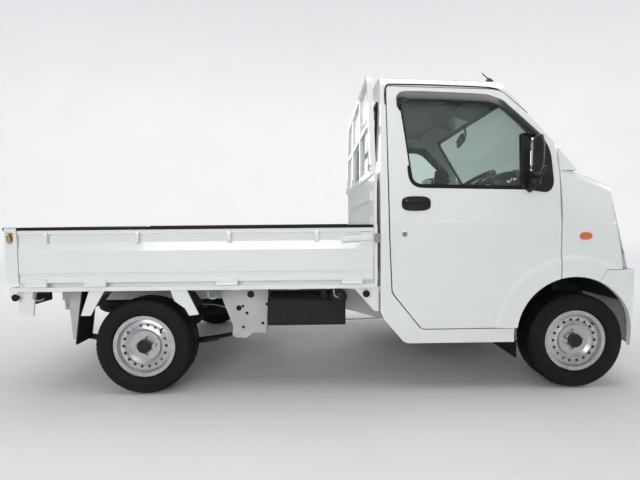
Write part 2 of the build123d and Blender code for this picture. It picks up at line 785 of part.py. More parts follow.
# Load bed: floor with its side and rear sills, and cross bearers down to the rails
with BuildPart() as bed_floor:
    slab(BED_REAR_X, POST_REAR_X, -FLOOR_HALF, FLOOR_HALF, SILL_TOP_Z, BED_FLOOR_Z)
    sill_rear = TAIL_OUTER_X + 6
    for side in (-1, 1):
        outer = side * BED_SILL_Y
        inner = side * (BED_SILL_Y - BED_SILL_WIDTH)
        slab(sill_rear, BED_FRONT_X, inner, outer, SILL_FOOT_Z, SILL_TOP_Z)
        slab(sill_rear, sill_rear + 42, side * 640, outer, 542, SILL_FOOT_Z)
        for x in GATE_HINGE_X:
            leaf_top = SILL_TOP_Z + 5
            slab(x - 62, x + 62, side * (FLOOR_HALF + 2), inner, SILL_TOP_Z, leaf_top)
        for datum, corners in SILL_PLATES.values():
            y = side * BRACKET_Y
            prism_xz(ahead(corners, datum), y, y - side * BRACKET_THICK)
    slab(sill_rear, sill_rear + 32, -BED_SILL_Y, BED_SILL_Y, SILL_FOOT_Z, SILL_TOP_Z)
    first = BED_REAR_X + 204
    pitch = (POST_REAR_X - 116 - first) / (BEARER_COUNT - 1)
    for number in range(BEARER_COUNT):
        x = first + pitch * number
        over_wheel = abs(x - REAR_AXLE_X) < TYRE_RADIUS
        half = ARCH_BEARER_HALF if over_wheel else BED_SILL_Y - BED_SILL_WIDTH
        slab(x - BEARER_WIDTH / 2, x + BEARER_WIDTH / 2, -half, half, RAIL_TOP_Z, SILL_TOP_Z)
write(bed_floor, "bed_floor")

# Mudguards over the rear wheels: a bent sheet whose ends meet the arch struts
MUDGUARD_LINE = ahead(
    [
        (-326, 440),
        (-262, 528),
        (-198, 568),
        (-150, 586),
        (123, 586),
        (172, 568),
        (232, 524),
        (292, 440),
    ],
    REAR_AXLE_X,
)
with BuildPart() as mudguards:
    for side in (-1, 1):
        low, high = sorted((side * ARCH_BEARER_HALF, side * (BRACKET_Y - BRACKET_THICK)))
        with BuildSketch(Plane.XZ.offset(-low)) as sheet:
            with BuildLine():
                Polyline(MUDGUARD_LINE, close=True)
            make_face()
            offset(amount=-4, mode=Mode.SUBTRACT)
            with Locations((REAR_AXLE_X, 440)):
                Rectangle(1000, 40, mode=Mode.SUBTRACT)
        extrude(sheet.sketch, amount=low - high)
    rear, front = REAR_AXLE_X - FAR, REAR_AXLE_X + FAR
    for side in (-1, 1):
        edge = side * (BED_SILL_Y - BED_SILL_WIDTH)
        slab(rear, front, edge, side * FAR, SILL_FOOT_Z, SILL_TOP_Z, mode=Mode.SUBTRACT)
write(mudguards, "mudguards")

# Bed front: ribbed wall between two posts
with BuildPart() as bed_front:
    guard_foot = GUARD_BAR_Z - GUARD_TUBE / 2
    half = BED_SILL_Y - 12
    slab(POST_REAR_X, BED_FRONT_X, -half, half, SILL_TOP_Z, guard_foot)
    for rib in range(3):
        z = BED_FLOOR_Z + 140 * (rib + 1)
        slab(POST_REAR_X - 8, POST_REAR_X, -640, 640, z, z + 50)
    for side in (-1, 1):
        slab(
            POST_REAR_X,
            BED_FRONT_X,
            side * (GATE_OUTER_Y - 38),
            side * GATE_OUTER_Y,
            SILL_TOP_Z,
            GATE_TOP_Z,
        )
write(bed_front, "bed_front")

# Guard frame: a tapered tube hoop with two uprights and a middle bar
GUARD_RING = [
    (-GUARD_FOOT_Y, guard_foot),
    (GUARD_FOOT_Y, guard_foot),
    (GUARD_TOP_Y, GUARD_TOP_Z),
    (-GUARD_TOP_Y, GUARD_TOP_Z),
]
with BuildPart() as guard_frame:
    rear = BED_FRONT_X - GUARD_TUBE
    with BuildSketch(Plane.YZ.offset(rear)) as frame_face:
        with BuildLine():
            FilletPolyline(GUARD_RING, radius=[0, 0, 75, 75], close=True)
        make_face()
        offset(amount=-GUARD_TUBE, mode=Mode.SUBTRACT)
    extrude(frame_face.sketch, amount=GUARD_TUBE)
    back = rear + 4
    for y in (-GUARD_UPRIGHT_Y, GUARD_UPRIGHT_Y):
        low, high = y - GUARD_BAR / 2, y + GUARD_BAR / 2
        slab(back, back + 22, low, high, guard_foot + 10, GUARD_TOP_Z - 10)
    low, high = GUARD_MIDDLE_Z - GUARD_BAR / 2, GUARD_MIDDLE_Z + GUARD_BAR / 2
    slab(back, back + 22, -GUARD_FOOT_Y + 69, GUARD_FOOT_Y - 69, low, high)
write(guard_frame, "guard_frame")

# Drop gates, each with its hinge knuckles below the outer face
GATE_SECTION = [
    (-GATE_OUTER_Y + GATE_THICK, GATE_FOOT_Z),
    (-GATE_OUTER_Y + GATE_THICK, GATE_TOP_Z),
    (-GATE_OUTER_Y, GATE_TOP_Z),
    (-GATE_OUTER_Y, GATE_TOP_Z - 34),
    (-GATE_OUTER_Y + 10, GATE_TOP_Z - 37),
    (-GATE_OUTER_Y + 10, GATE_TOP_Z - 79),
    (-GATE_OUTER_Y, GATE_TOP_Z - 124),
    (-GATE_OUTER_Y, GATE_FOOT_Z + 53),
    (-GATE_OUTER_Y + 6, GATE_FOOT_Z + 45),
    (-GATE_OUTER_Y + 6, GATE_FOOT_Z + 31),
    (-GATE_OUTER_Y + 2, GATE_FOOT_Z + 24),
    (-GATE_OUTER_Y + 2, GATE_FOOT_Z),
]
with BuildPart() as gate:
    prism_yz(GATE_SECTION, GATE_REAR_X, GATE_FRONT_X)
    for x in GATE_HINGE_X:
        start, end = x - HINGE_LENGTH / 2, x + HINGE_LENGTH / 2
        rod((start, -HINGE_Y, HINGE_Z), (end, -HINGE_Y, HINGE_Z), HINGE_RADIUS)
        low, high = -HINGE_Y - HINGE_LEAF, -HINGE_Y + HINGE_LEAF + 2
        slab(start, end, low, high, HINGE_Z, GATE_FOOT_Z + 20)
write_pair(gate, "side_gate")

with BuildPart() as tail_gate:
    inner = TAIL_OUTER_X + GATE_THICK
    slab(TAIL_OUTER_X, inner, -GATE_OUTER_Y, GATE_OUTER_Y, GATE_FOOT_Z, GATE_TOP_Z)
    for side in (-1, 1):
        slab(
            TAIL_OUTER_X,
            TAIL_OUTER_X + TAIL_RETURN,
            side * (GATE_OUTER_Y - GATE_THICK),
            side * GATE_OUTER_Y,
            GATE_FOOT_Z,
            GATE_TOP_Z,
        )
    hinge_x = TAIL_OUTER_X - HINGE_OUT
    for y in TAIL_HINGE_Y:
        start, end = y - HINGE_LENGTH / 2, y + HINGE_LENGTH / 2
        rod((hinge_x, start, HINGE_Z), (hinge_x, end, HINGE_Z), HINGE_RADIUS)
        low, high = hinge_x - HINGE_LEAF, hinge_x + HINGE_LEAF
        slab(low, high, start, end, HINGE_Z, GATE_FOOT_Z + 20)
write(tail_gate, "tail_gate")

# Ladder frame: two rails that step down under the cab, with cross members and body mounts
RAIL_LINE = [
    (RAIL_REAR_X, RAIL_TOP_Z),
    (CAB_REAR_X - 149, RAIL_TOP_Z),
    (CAB_REAR_X + 1, CAB_RAIL_TOP_Z),
    (RAIL_FRONT_X, CAB_RAIL_TOP_Z),
    (RAIL_FRONT_X, CAB_RAIL_FOOT_Z),
    (CAB_REAR_X + 60, CAB_RAIL_FOOT_Z),
    (CAB_REAR_X - 430, RAIL_TOP_Z - RAIL_HEIGHT),
    (RAIL_REAR_X, RAIL_TOP_Z - RAIL_HEIGHT),
]
# Spring hanger plates: X from the rear axle, and Z
HANGER_PLATES = [
    [
        (381, 470),
        (439, 313),
        (432, 262),
        (452, 246),
        (513, 242),
        (557, 273),
        (632, 272),
        (648, 470),
    ],
    [(-520, 460), (-440, 460), (-455, 246), (-505, 246)],
]
OUTRIGGERS = [(381, 648, 470), (-520, -440, 460)]
with BuildPart() as chassis:
    for side in (-1, 1):
        prism_xz(RAIL_LINE, side * RAIL_INNER_Y, side * RAIL_OUTER_Y)
        spring_edge = SPRING_WIDTH / 2 + 2
        for corners in HANGER_PLATES:
            line = ahead(corners, REAR_AXLE_X)
            for y in (SPRING_Y - spring_edge - HANGER_THICK, SPRING_Y + spring_edge):
                prism_xz(line, side * y, side * (y + HANGER_THICK))
        outer = side * (SPRING_Y + spring_edge + HANGER_THICK)
        for rear, front, foot in OUTRIGGERS:
            x0, x1 = REAR_AXLE_X + rear, REAR_AXLE_X + front
            slab(x0, x1, side * RAIL_OUTER_Y, outer, foot - 2, RAIL_TOP_Z - 20)
        for x in (CAB_REAR_X + 90, FIREWALL_X - 110):
            low, high = RAIL_INNER_Y + 5, RAIL_OUTER_Y - 5
            mount_top = CAB_RAIL_TOP_Z + BODY_MOUNT
            slab(x - 30, x + 30, side * low, side * high, CAB_RAIL_TOP_Z, mount_top)
    top = RAIL_TOP_Z - 10
    for x in (RAIL_REAR_X + 20, REAR_AXLE_X + 197, REAR_AXLE_X + 747, CAB_REAR_X - 219):
        slab(x - 20, x + 20, -RAIL_INNER_Y, RAIL_INNER_Y, top - 60, top)
    for x in (ENGINE_X[0] + 50, ENGINE_X[1] - 60, RAIL_FRONT_X - 30):
        slab(x - 25, x + 25, -RAIL_INNER_Y, RAIL_INNER_Y, CAB_RAIL_FOOT_Z, ENGINE_Z[0])
    low, high = FRONT_AXLE_X - 90, FRONT_AXLE_X + 90
    slab(low, high, -RAIL_OUTER_Y, RAIL_OUTER_Y, 190, CAB_RAIL_FOOT_Z)
    rail_foot = RAIL_TOP_Z - RAIL_HEIGHT
    eye_z = rail_foot - TOW_EYE_DROP
    eye_y = -RAIL_OUTER_Y + RAIL_WIDTH / 2
    eye_low, eye_high = eye_y - TOW_EYE_THICK / 2, eye_y + TOW_EYE_THICK / 2
    slab(RAIL_REAR_X, RAIL_REAR_X + 60, eye_low, eye_high, eye_z - 28, rail_foot)
    cylinder_y(RAIL_REAR_X + 30, eye_z, eye_low, eye_high, TOW_EYE_RADIUS, mode=Mode.SUBTRACT)
write(chassis, "chassis_frame")

with BuildPart() as rear_axle:
    spindle_end = WHEEL_Y + DISC_OFFSET
    cylinder_y(REAR_AXLE_X, AXLE_Z, -BACKPLATE_Y, BACKPLATE_Y, AXLE_TUBE_RADIUS)
    with Locations((REAR_AXLE_X, 0, AXLE_Z)):
        Sphere(95)
    for side in (-1, 1):
        face = side * (BACKPLATE_Y - 8)
        cylinder_y(REAR_AXLE_X, AXLE_Z, face, side * BACKPLATE_Y, BACKPLATE_RADIUS)
        cylinder_y(REAR_AXLE_X, AXLE_Z, face, side * spindle_end, SPINDLE_RADIUS)
        slab(
            REAR_AXLE_X - 60,
            REAR_AXLE_X + 60,
            side * (SPRING_Y - 35),
            side * (SPRING_Y + 35),
            SPRING_SEAT_Z + 2,
            SPRING_SEAT_Z + 17,
        )
write(rear_axle, "rear_axle")

# Leaf springs below the axle: length as a share of the main leaf, and how far each lies below it
LEAVES = [(1.0, 0.0), (0.72, LEAF_THICK), (0.45, 2 * LEAF_THICK)]
with BuildPart() as springs:
    for side in (-1, 1):
        edges = sorted(side * (SPRING_Y + half) for half in (-SPRING_WIDTH / 2, SPRING_WIDTH / 2))
        with BuildSketch(Plane.XZ.offset(-edges[0])) as leaves:
            for share, drop in LEAVES:
                half = SPRING_HALF * share
                low = SPRING_SEAT_Z - drop
                high = low + (SPRING_EYE_Z - SPRING_SEAT_Z) * share**2
                back, front = REAR_AXLE_X - half, REAR_AXLE_X + half
                with BuildLine():
                    top = ThreePointArc((back, high), (REAR_AXLE_X, low), (front, high))
                    under = ThreePointArc(
                        (front, high - LEAF_THICK),
                        (REAR_AXLE_X, low - LEAF_THICK),
                        (back, high - LEAF_THICK),
                    )
                    Line(top @ 1, under @ 0)
                    Line(under @ 1, top @ 0)
                make_face()
            eye_x = (REAR_AXLE_X - SPRING_HALF, REAR_AXLE_X + SPRING_HALF)
            with Locations(*((x, SPRING_EYE_Z) for x in eye_x)):
                Circle(SPRING_EYE_RADIUS)
        extrude(leaves.sketch, amount=-SPRING_WIDTH)
write(springs, "leaf_springs")

with BuildPart() as shaft:
    rod((REAR_AXLE_X + 96, 0, AXLE_Z + 8), (ENGINE_X[0] - 3, 0, ENGINE_Z[0] + 30), SHAFT_RADIUS)
write(shaft, "propeller_shaft")

with BuildPart() as engine:
    slab(ENGINE_X[0], ENGINE_X[1], -ENGINE_HALF, ENGINE_HALF, ENGINE_Z[0], ENGINE_Z[1])
write(engine, "engine_block")

# Fuel tank on the right with its filler neck and cap behind the bed sill
with BuildPart() as tank:
    slab(TANK_X[0], TANK_X[1], -TANK_Y[1], -TANK_Y[0], TANK_Z[0], TANK_Z[1])
    fillet(tank.edges().filter_by(Axis.X), radius=35)
    neck_x = TANK_X[1] - 50
    rod((neck_x + 10, -560, TANK_Z[1] - 20), (neck_x, -655, 523), 22)
    rod((neck_x, -655, 523), (neck_x, -672, 523), 38)
write(tank, "fuel_tank")

with BuildPart() as exhaust:
    front = (CAB_REAR_X + 21, 180, 330)
    muffler = ((REAR_AXLE_X + 657, 210, 340), (REAR_AXLE_X + 237, 230, 350))
    rise = (REAR_AXLE_X + 137, 290, 400)
    rod(front, muffler[0], PIPE_RADIUS + 2)
    rod(muffler[0], muffler[1], MUFFLER_RADIUS)
    rod(muffler[1], rise, PIPE_RADIUS)
    rod((rise[0] + 10, 284, 395), (REAR_X + 37, 290, 400), PIPE_RADIUS)
    strap_x = REAR_AXLE_X + 437
    slab(strap_x, strap_x + 30, 270, RAIL_INNER_Y, 340, 360)
    slab(strap_x + 15, strap_x + 30, RAIL_INNER_Y - 12, RAIL_INNER_Y, 340, 480)
write(exhaust, "exhaust")

with BuildPart() as tail_lamps:
    lamp_x = TAIL_OUTER_X + 6
    for side in (-1, 1):
        slab(lamp_x, lamp_x + 44, side * 490, side * 638, 480, SILL_FOOT_Z)
write(tail_lamps, "tail_lamps")

# Mudflaps: plates behind the rear wheels and below the cab sills behind the front wheels
FLAP_OUTER_Y = 712.0
with BuildPart() as flap_top:
    low, high = WHEELHOUSE_X - WHEELHOUSE_RADIUS - 4, WHEELHOUSE_X - WHEELHOUSE_RADIUS + 10
    flap_outer = BODY_Y - PANEL_WALL
    slab(low, high, -480, -flap_outer, WHEELHOUSE_FOOT_Z, 345)
    add(wheelhouse(480, flap_outer, WHEELHOUSE_RADIUS), mode=Mode.INTERSECT)
with BuildPart() as flaps:
    rear_flap = ahead([(-334, RAIL_TOP_Z), (-326, RAIL_TOP_Z), (-368, 272), (-376, 272)], REAR_AXLE_X)
    for side in (-1, 1):
        prism_xz(rear_flap, side * 560, side * (BRACKET_Y - BRACKET_THICK - 8))
        slab(high - 6, high, side * 480, side * FLAP_OUTER_Y, 175, WHEELHOUSE_FOOT_Z)
    for form in both(flap_top.part):
        add(form)
write(flaps, "mudflaps")


def tyre_ring(centre, axis_dir):
    """A tyre as a many-sided ring that stands on a flat: tread, shoulders and leaning walls."""
    across = Vector(0, 0, 1) if abs(axis_dir[2]) < 0.5 else Vector(1, 0, 0)
    plane = Plane(origin=centre, x_dir=across, z_dir=Vector(*axis_dir))
    half_turn = 180 / TYRE_SIDES
    bore = RIM_LIP_RADIUS + FIT_GAP
    shoulder = (TYRE_WIDTH - TREAD_WIDTH) / 2
    wall = (TYRE_WIDTH - RIM_WIDTH) / 2
    with BuildPart() as ring:
        with BuildSketch(Plane.XY.offset(-TYRE_WIDTH / 2)):
            RegularPolygon(TYRE_RADIUS, TYRE_SIDES, major_radius=False, rotation=half_turn)
            RegularPolygon(
                bore, TYRE_SIDES, major_radius=False, rotation=half_turn, mode=Mode.SUBTRACT
            )
        extrude(amount=TYRE_WIDTH)
        rims = ring.edges().filter_by(Axis.Z, reverse=True).group_by(SortBy.LENGTH)
        chamfer(rims[-1], length=shoulder, length2=SHOULDER_DEPTH)
        rims = ring.edges().filter_by(Axis.Z, reverse=True).group_by(SortBy.LENGTH)
        chamfer(rims[0], length=WALL_DEPTH, length2=wall)
    return plane.location * ring.part


def wheel_rim(side, x):
    """A steel wheel with its hub drum, outer face towards the given side."""
    lip = RIM_WIDTH / 2
    face = DISC_OFFSET
    barrel = BARREL_RADIUS - RIM_WALL
    bore = SPINDLE_RADIUS + RUNNING_GAP
    outline = [
        (BARREL_RADIUS, -lip + RIM_WALL),
        (RIM_LIP_RADIUS, -lip + RIM_WALL),
        (RIM_LIP_RADIUS, -lip),
        (barrel, -lip),
        (barrel, lip - 22),
        (130, lip - 16),
        (110, face - 6),
        (96, face + 1),
        (80, face - 8),
        (DRUM_RADIUS - 22, face - 10),
        (HUB_RADIUS, face - 10),
        (bore, face - 10),
        (bore, face - 2),
        (80, face - 2),
        (96, face + 9),
        (112, face + 2),
        (130, lip - 8),
        (barrel, lip - 14),
        (barrel, lip),
        (RIM_LIP_RADIUS, lip),
        (RIM_LIP_RADIUS, lip - RIM_WALL),
        (BARREL_RADIUS, lip - RIM_WALL),
    ]
    with BuildPart() as rim:
        with BuildSketch(Plane.XZ):
            with BuildLine():
                Polyline(outline, close=True)
            make_face()
        revolve(axis=Axis.Z)
        with BuildSketch(Plane.XY.offset(-DRUM_INNER_Y)):
            Circle(DRUM_RADIUS)
            Circle(DRUM_RADIUS - 8, mode=Mode.SUBTRACT)
        extrude(amount=face + DRUM_INNER_Y + 2)
        with BuildSketch(Plane.XY.offset(face - 9)):
            Circle(HUB_RADIUS)
        extrude(amount=28)
        with BuildSketch(Plane.XY.offset(face - 12)):
            Circle(HUB_RADIUS + 5)
            Circle(bore, mode=Mode.SUBTRACT)
        extrude(amount=12)
        with BuildSketch(Plane.XY.offset(face - 30)):
            Circle(bore)
        extrude(amount=30, mode=Mode.SUBTRACT)
        with BuildSketch(Plane.XY.offset(face - 4)):
            with PolarLocations(NUT_CIRCLE / 2, NUT_COUNT):
                RegularPolygon(NUT_RADIUS, 6)
        extrude(amount=18)
        with BuildSketch(Plane.XY):
            with PolarLocations(VENT_CIRCLE / 2, VENT_COUNT):
                Circle(VENT_RADIUS)
        extrude(amount=80, mode=Mode.SUBTRACT)
    plane = Plane(origin=(x, side * WHEEL_Y, AXLE_Z), x_dir=(1, 0, 0), z_dir=(0, side, 0))
    return plane.location * rim.part


for side, side_name in ((-1, "right"), (1, "left")):
    for end_name, x in (("front", FRONT_AXLE_X), ("rear", REAR_AXLE_X)):
        with BuildPart() as rim:
            add(wheel_rim(side, x))
        write(rim, f"wheel_{end_name}_{side_name}")
        with BuildPart() as tyre:
            add(tyre_ring((x, side * WHEEL_Y, AXLE_Z), (0, side, 0)))
        write(tyre, f"tyre_{end_name}_{side_name}")

with BuildPart() as spare:
    add(tyre_ring((SPARE_X, 0, SPARE_Z), (0, 0, 1)))
    with Locations((SPARE_X, 0, SPARE_Z)):
        Cylinder(RIM_LIP_RADIUS + 10, 60)
    carrier_z = SPARE_Z + TYRE_WIDTH / 2 + 12
    rod((SPARE_X, 0, SPARE_Z), (SPARE_X, 0, carrier_z + 10), 22)
    slab(SPARE_X - 15, SPARE_X + 15, -RAIL_INNER_Y, RAIL_INNER_Y, carrier_z, carrier_z + 20)
write(spare, "spare_wheel")

# Steering knuckle with its strut on the inclined steering axis
with BuildPart() as knuckle:
    rod(steer_point(190), steer_point(560), 25)
    rod(steer_point(545), steer_point(556), 60)
    rod(steer_point(556), steer_point(672), 46)
    rod(steer_point(672), steer_point(STRUT_TOP_Z), 12)
    back = -BACKPLATE_Y
    slab(FRONT_AXLE_X - 42, FRONT_AXLE_X + 42, back, back + 21, AXLE_Z - 60, AXLE_Z + 60)
    slab(FRONT_AXLE_X - 20, FRONT_AXLE_X + 20, back + 6, back + 46, AXLE_Z - 50, AXLE_Z + 50)
    cylinder_y(FRONT_AXLE_X, AXLE_Z, back, back + 8, BACKPLATE_RADIUS)
    cylinder_y(FRONT_AXLE_X, AXLE_Z, -WHEEL_Y - DISC_OFFSET, back + 6, SPINDLE_RADIUS)
write_pair(knuckle, "knuckle")

with BuildPart() as arms:
    corners = [
        (FRONT_AXLE_X + 85, -RAIL_OUTER_Y),
        (FRONT_AXLE_X - 85, -RAIL_OUTER_Y),
        (FRONT_AXLE_X - 22, -ARM_END_Y),
        (FRONT_AXLE_X + 22, -ARM_END_Y),
    ]
    extrude(outline_on(Plane.XY.offset(ARM_TOP_Z - ARM_THICK), corners), amount=ARM_THICK)
    mirror(about=Plane.XZ)
write(arms, "lower_arms")

# Dashboard with the steering column, X from the front axle and Z
DASH_CORNERS = ahead(
    [
        (-242, 880),
        (-282, 1060),
        (-232, 1150),
        (-152, 1180),
        (-112, 1180),
        (-109, 1154),
        (-70, 1154),
        (-70, 800),
        (-172, 780),
    ]
)
with BuildPart() as dashboard:
    prism_xz(DASH_CORNERS, -605, 605, radii=[20, 60, 60, 10, 2, 0, 5, 10, 40])
    column_foot = COLUMN_TOP - COLUMN_DIR * 330
    rod(COLUMN_TOP - COLUMN_DIR * 24, column_foot, 27)
    low, high = COLUMN_TOP.Y - 20, COLUMN_TOP.Y + 20
    foot_x = column_foot.X - 20
    slab(foot_x, foot_x + 150, low, high, column_foot.Z - 20, column_foot.Z + 25)
write(dashboard, "dashboard")

# Steering wheel on its own axis: hoop, boss and three spokes
with BuildPart() as hoop:
    Torus(WHEEL_HOOP, HOOP_RADIUS)
    with Locations((0, 0, -12)):
        Cylinder(55, 22)
    with PolarLocations(0, 3, start_angle=-90):
        with Locations((WHEEL_HOOP / 2, 0, -6)):
            Box(WHEEL_HOOP, 28, 10)
with BuildPart() as steering_wheel:
    add(Plane(origin=COLUMN_TOP, x_dir=(0, 1, 0), z_dir=COLUMN_DIR).location * hoop.part)
write(steering_wheel, "steering_wheel")

# Seats: cushion, back and head pad, X from the cab's rear face and Z
CUSHION = ahead([(131, 650), (571, 650), (571, 735), (531, 755), (121, 735)], CAB_REAR_X)
BACK = ahead([(121, 700), (191, 735), (121, 1190), (66, 1190)], CAB_REAR_X)
HEAD_PAD = ahead([(66, 1180), (121, 1180), (106, 1400), (59, 1400)], CAB_REAR_X)
with BuildPart() as seat:
    prism_xz(CUSHION, -590, -110, radii=[10, 30, 30, 40, 10])
    prism_xz(BACK, -590, -110, radii=[10, 30, 25, 25])
    prism_xz(HEAD_PAD, -450, -250, radii=[5, 5, 22, 22])
write_pair(seat, "seat")
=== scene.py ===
# %% [markdown]
# # Kei truck: looks around a fixed frame
# The truck's shape, joints and sizes come from its CAD model, which loads here as the frame.
# Everything below adds what the solids leave out: paint, glass, tread, seals, lamps, handles,
# hooks, seats and the small fittings under the bed. Places are in metres in the frame's own
# axes: +X to the front, +Y to the truck's left, +Z up, with the ground at zero. The helpers for
# small sections take millimetres, and say so.

import json
from math import cos, pi, radians, sin, tau

import bmesh
import bpy
import numpy as np
from mathutils import Matrix, Vector


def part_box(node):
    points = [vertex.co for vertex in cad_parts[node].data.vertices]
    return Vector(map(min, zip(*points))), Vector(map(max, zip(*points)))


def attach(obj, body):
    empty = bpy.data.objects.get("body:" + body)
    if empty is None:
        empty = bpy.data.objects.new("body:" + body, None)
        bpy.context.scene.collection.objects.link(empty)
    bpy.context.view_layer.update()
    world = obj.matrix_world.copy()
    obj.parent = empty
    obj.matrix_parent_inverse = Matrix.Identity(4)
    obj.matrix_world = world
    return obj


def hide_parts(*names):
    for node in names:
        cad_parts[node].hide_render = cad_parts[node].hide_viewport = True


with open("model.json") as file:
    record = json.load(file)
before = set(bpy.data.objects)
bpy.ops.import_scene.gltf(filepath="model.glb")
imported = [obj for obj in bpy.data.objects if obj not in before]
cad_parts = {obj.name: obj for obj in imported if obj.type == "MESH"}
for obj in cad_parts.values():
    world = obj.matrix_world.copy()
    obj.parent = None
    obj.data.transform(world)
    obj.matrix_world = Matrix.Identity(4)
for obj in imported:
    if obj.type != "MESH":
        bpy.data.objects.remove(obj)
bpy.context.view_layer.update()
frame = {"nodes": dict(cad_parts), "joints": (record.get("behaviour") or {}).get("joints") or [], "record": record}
nodes = frame["nodes"]
joints = {joint["name"]: joint for joint in frame["joints"]}

# %% [markdown]
# A few places that many pieces share. Each is read from the frame, so a piece sits on the panel
# or the axle that carries it, and moves with it if the CAD changes.


# %% Shared places
def corners(node):
    """The lowest and highest corner of a CAD node as two arrays."""
    low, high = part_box(node)
    return np.array(low), np.array(high)


def joint_place(name):
    """A joint's place in the frame."""
    return np.array(joints[name]["pos_m"])


SIDES = {"right": -1, "left": 1}
FRONT_AXLE = joint_place("spin_front_right")
REAR_AXLE = joint_place("spin_rear_right")
FX, RX = FRONT_AXLE[0], REAR_AXLE[0]
AXLE_Z, WHEEL_Y = FRONT_AXLE[2], abs(FRONT_AXLE[1])
# Each wheel's middle, and the way its outer face looks along Y
WHEELS = {f"{end}_{side}": (np.array([axle[0], out * WHEEL_Y, AXLE_Z]), out)
          for side, out in SIDES.items() for end, axle in (("front", FRONT_AXLE), ("rear", REAR_AXLE))}
gate_low, gate_high = corners("side_gate_right")
bed_low, bed_high = corners("bed_floor")
TAIL_X = corners("tail_gate")[0][0]
CAB_REAR = corners("cab_shell")[0][0]
GATE_TOP = gate_high[2]
DECK_Z = bed_high[2]
print("axles at", FX, RX, "gate top", GATE_TOP, "deck", DECK_Z)

# %% [markdown]
# ## Camera
# The photograph was taken from the right, near the middle of the truck, with a wide lens about
# chest high. Its place and angles were fitted to the wheels, the gate and the cab. The lens is
# in millimetres on a sensor 36 mm wide, which is how Blender states a field of view.

# %% Camera
CAMERA_PLACE = (-0.0635, -2.512, 0.918)
CAMERA_YAW, CAMERA_PITCH, CAMERA_ROLL = radians(-0.69), radians(-2.83), radians(0.55)
LENS_MM, SENSOR_MM = 19.06, 36

scene = bpy.context.scene
turn = (
    Matrix.Rotation(CAMERA_YAW, 4, "Z")
    @ Matrix.Rotation(CAMERA_PITCH, 4, "X")
    @ Matrix.Rotation(CAMERA_ROLL, 4, "Y")
    @ Matrix.Rotation(radians(90), 4, "X")
)
camera_data = bpy.data.cameras.new("camera")
camera_data.lens = LENS_MM
camera_data.sensor_width = SENSOR_MM
camera_data.clip_end = 100
camera = bpy.data.objects.new("camera", camera_data)
camera.matrix_world = Matrix.Translation(CAMERA_PLACE) @ turn
scene.collection.objects.link(camera)
scene.camera = camera
scene.view_settings.view_transform = "Standard"
print("camera at", CAMERA_PLACE)

# %% [markdown]
# ## Mesh helpers
# Every new piece starts as a shape: an array of points and a list of faces. A shape is a grid of
# points worked out in whole arrays, a profile carried along a path, or a flat outline with a
# thickness. Shapes are joined, mirrored and moved as arrays, and only then become one mesh.


# %% Grids
def mm(*places):
    """Millimetres as metres."""
    return np.array(places, float) / 1000


def grid_faces(rows, columns, wrap_rows=False, wrap_columns=False):
    """Quads between neighbouring points of a grid; a wrapped way joins its last to its first."""
    i = np.arange(rows if wrap_rows else rows - 1)
    j = np.arange(columns if wrap_columns else columns - 1)
    i, j = np.meshgrid(i, j, indexing="ij")
    down, across = (i + 1) % rows, (j + 1) % columns
    quads = [i * columns + j, down * columns + j, down * columns + across, i * columns + across]
    return np.stack(quads, axis=-1).reshape(-1, 4).tolist()


def grid_shape(points, wrap_rows=False, wrap_columns=False, caps=False):
    """A surface over a grid of points; caps close its first and last row with one face each."""
    points = np.array(points)
    rows, columns = points.shape[:2]
    faces = grid_faces(rows, columns, wrap_rows, wrap_columns)
    if caps:
        faces += [list(range(columns))[::-1]]
        faces += [[(rows - 1) * columns + k for k in range(columns)]]
    return points.reshape(-1, 3), faces


print("a grid of 3 by 4 points has", len(grid_faces(3, 4)), "faces")

# %% [markdown]
# Most fittings on a truck are pressed or moulded, so their sections have round corners. A bevel
# could cut a corner afterwards. Here the outline itself is rounded, so that a swept or turned
# shape comes out smooth with no modifier.


# %% Outlines
def ring(radius_a, radius_b, steps):
    """Points of an ellipse, in millimetres: radius_a * cosine and radius_b * sine."""
    angle = np.arange(steps) * tau / steps
    return np.stack([radius_a * np.cos(angle), radius_b * np.sin(angle)], axis=-1) / 1000


def rounded(outline, radius, steps=4):
    """An outline with each corner replaced by an arc of about the radius.

    Each corner becomes a quadratic curve: (1-t)^2 of a point before it, 2t(1-t) of the corner
    and t^2 of a point after it, where both points lie one radius away along the two edges."""
    outline = np.array(outline, float)
    before = np.roll(outline, 1, axis=0) - outline
    after = np.roll(outline, -1, axis=0) - outline
    reach_b = np.linalg.norm(before, axis=1, keepdims=True)
    reach_a = np.linalg.norm(after, axis=1, keepdims=True)
    size = np.broadcast_to(np.array(radius, float).reshape(-1, 1), reach_a.shape)
    start = outline + before / reach_b * np.minimum(size, reach_b * 0.49)
    end = outline + after / reach_a * np.minimum(size, reach_a * 0.49)
    t = np.linspace(0, 1, steps + 1).reshape(1, -1, 1)
    curve = (1 - t) ** 2 * start[:, None] + 2 * t * (1 - t) * outline[:, None] + t**2 * end[:, None]
    return curve.reshape(-1, 2)


def soft(outline, corner, steps=3):
    """An outline with round corners, given in millimetres."""
    return rounded(mm(*outline), np.array(corner) / 1000, steps)


def rect(x0, z0, x1, z1, corner, steps=3):
    """A rounded rectangle between two corners, in millimetres."""
    return soft([(x0, z0), (x1, z0), (x1, z1), (x0, z1)], corner, steps)


def bar(half_wide, half_tall, corner, steps=2):
    """A rounded rectangle about the origin, in millimetres."""
    return rect(-half_wide, -half_tall, half_wide, half_tall, corner, steps)


print("a bar's outline has", len(bar(10, 5, 2)), "points")

# %% [markdown]
# Seals, strips, pipes and handles are one section carried along a line. A curve object with a
# bevel could do it, but as arrays the section's two axes are known at each point, so a flat strip
# lies on its panel without a twist.


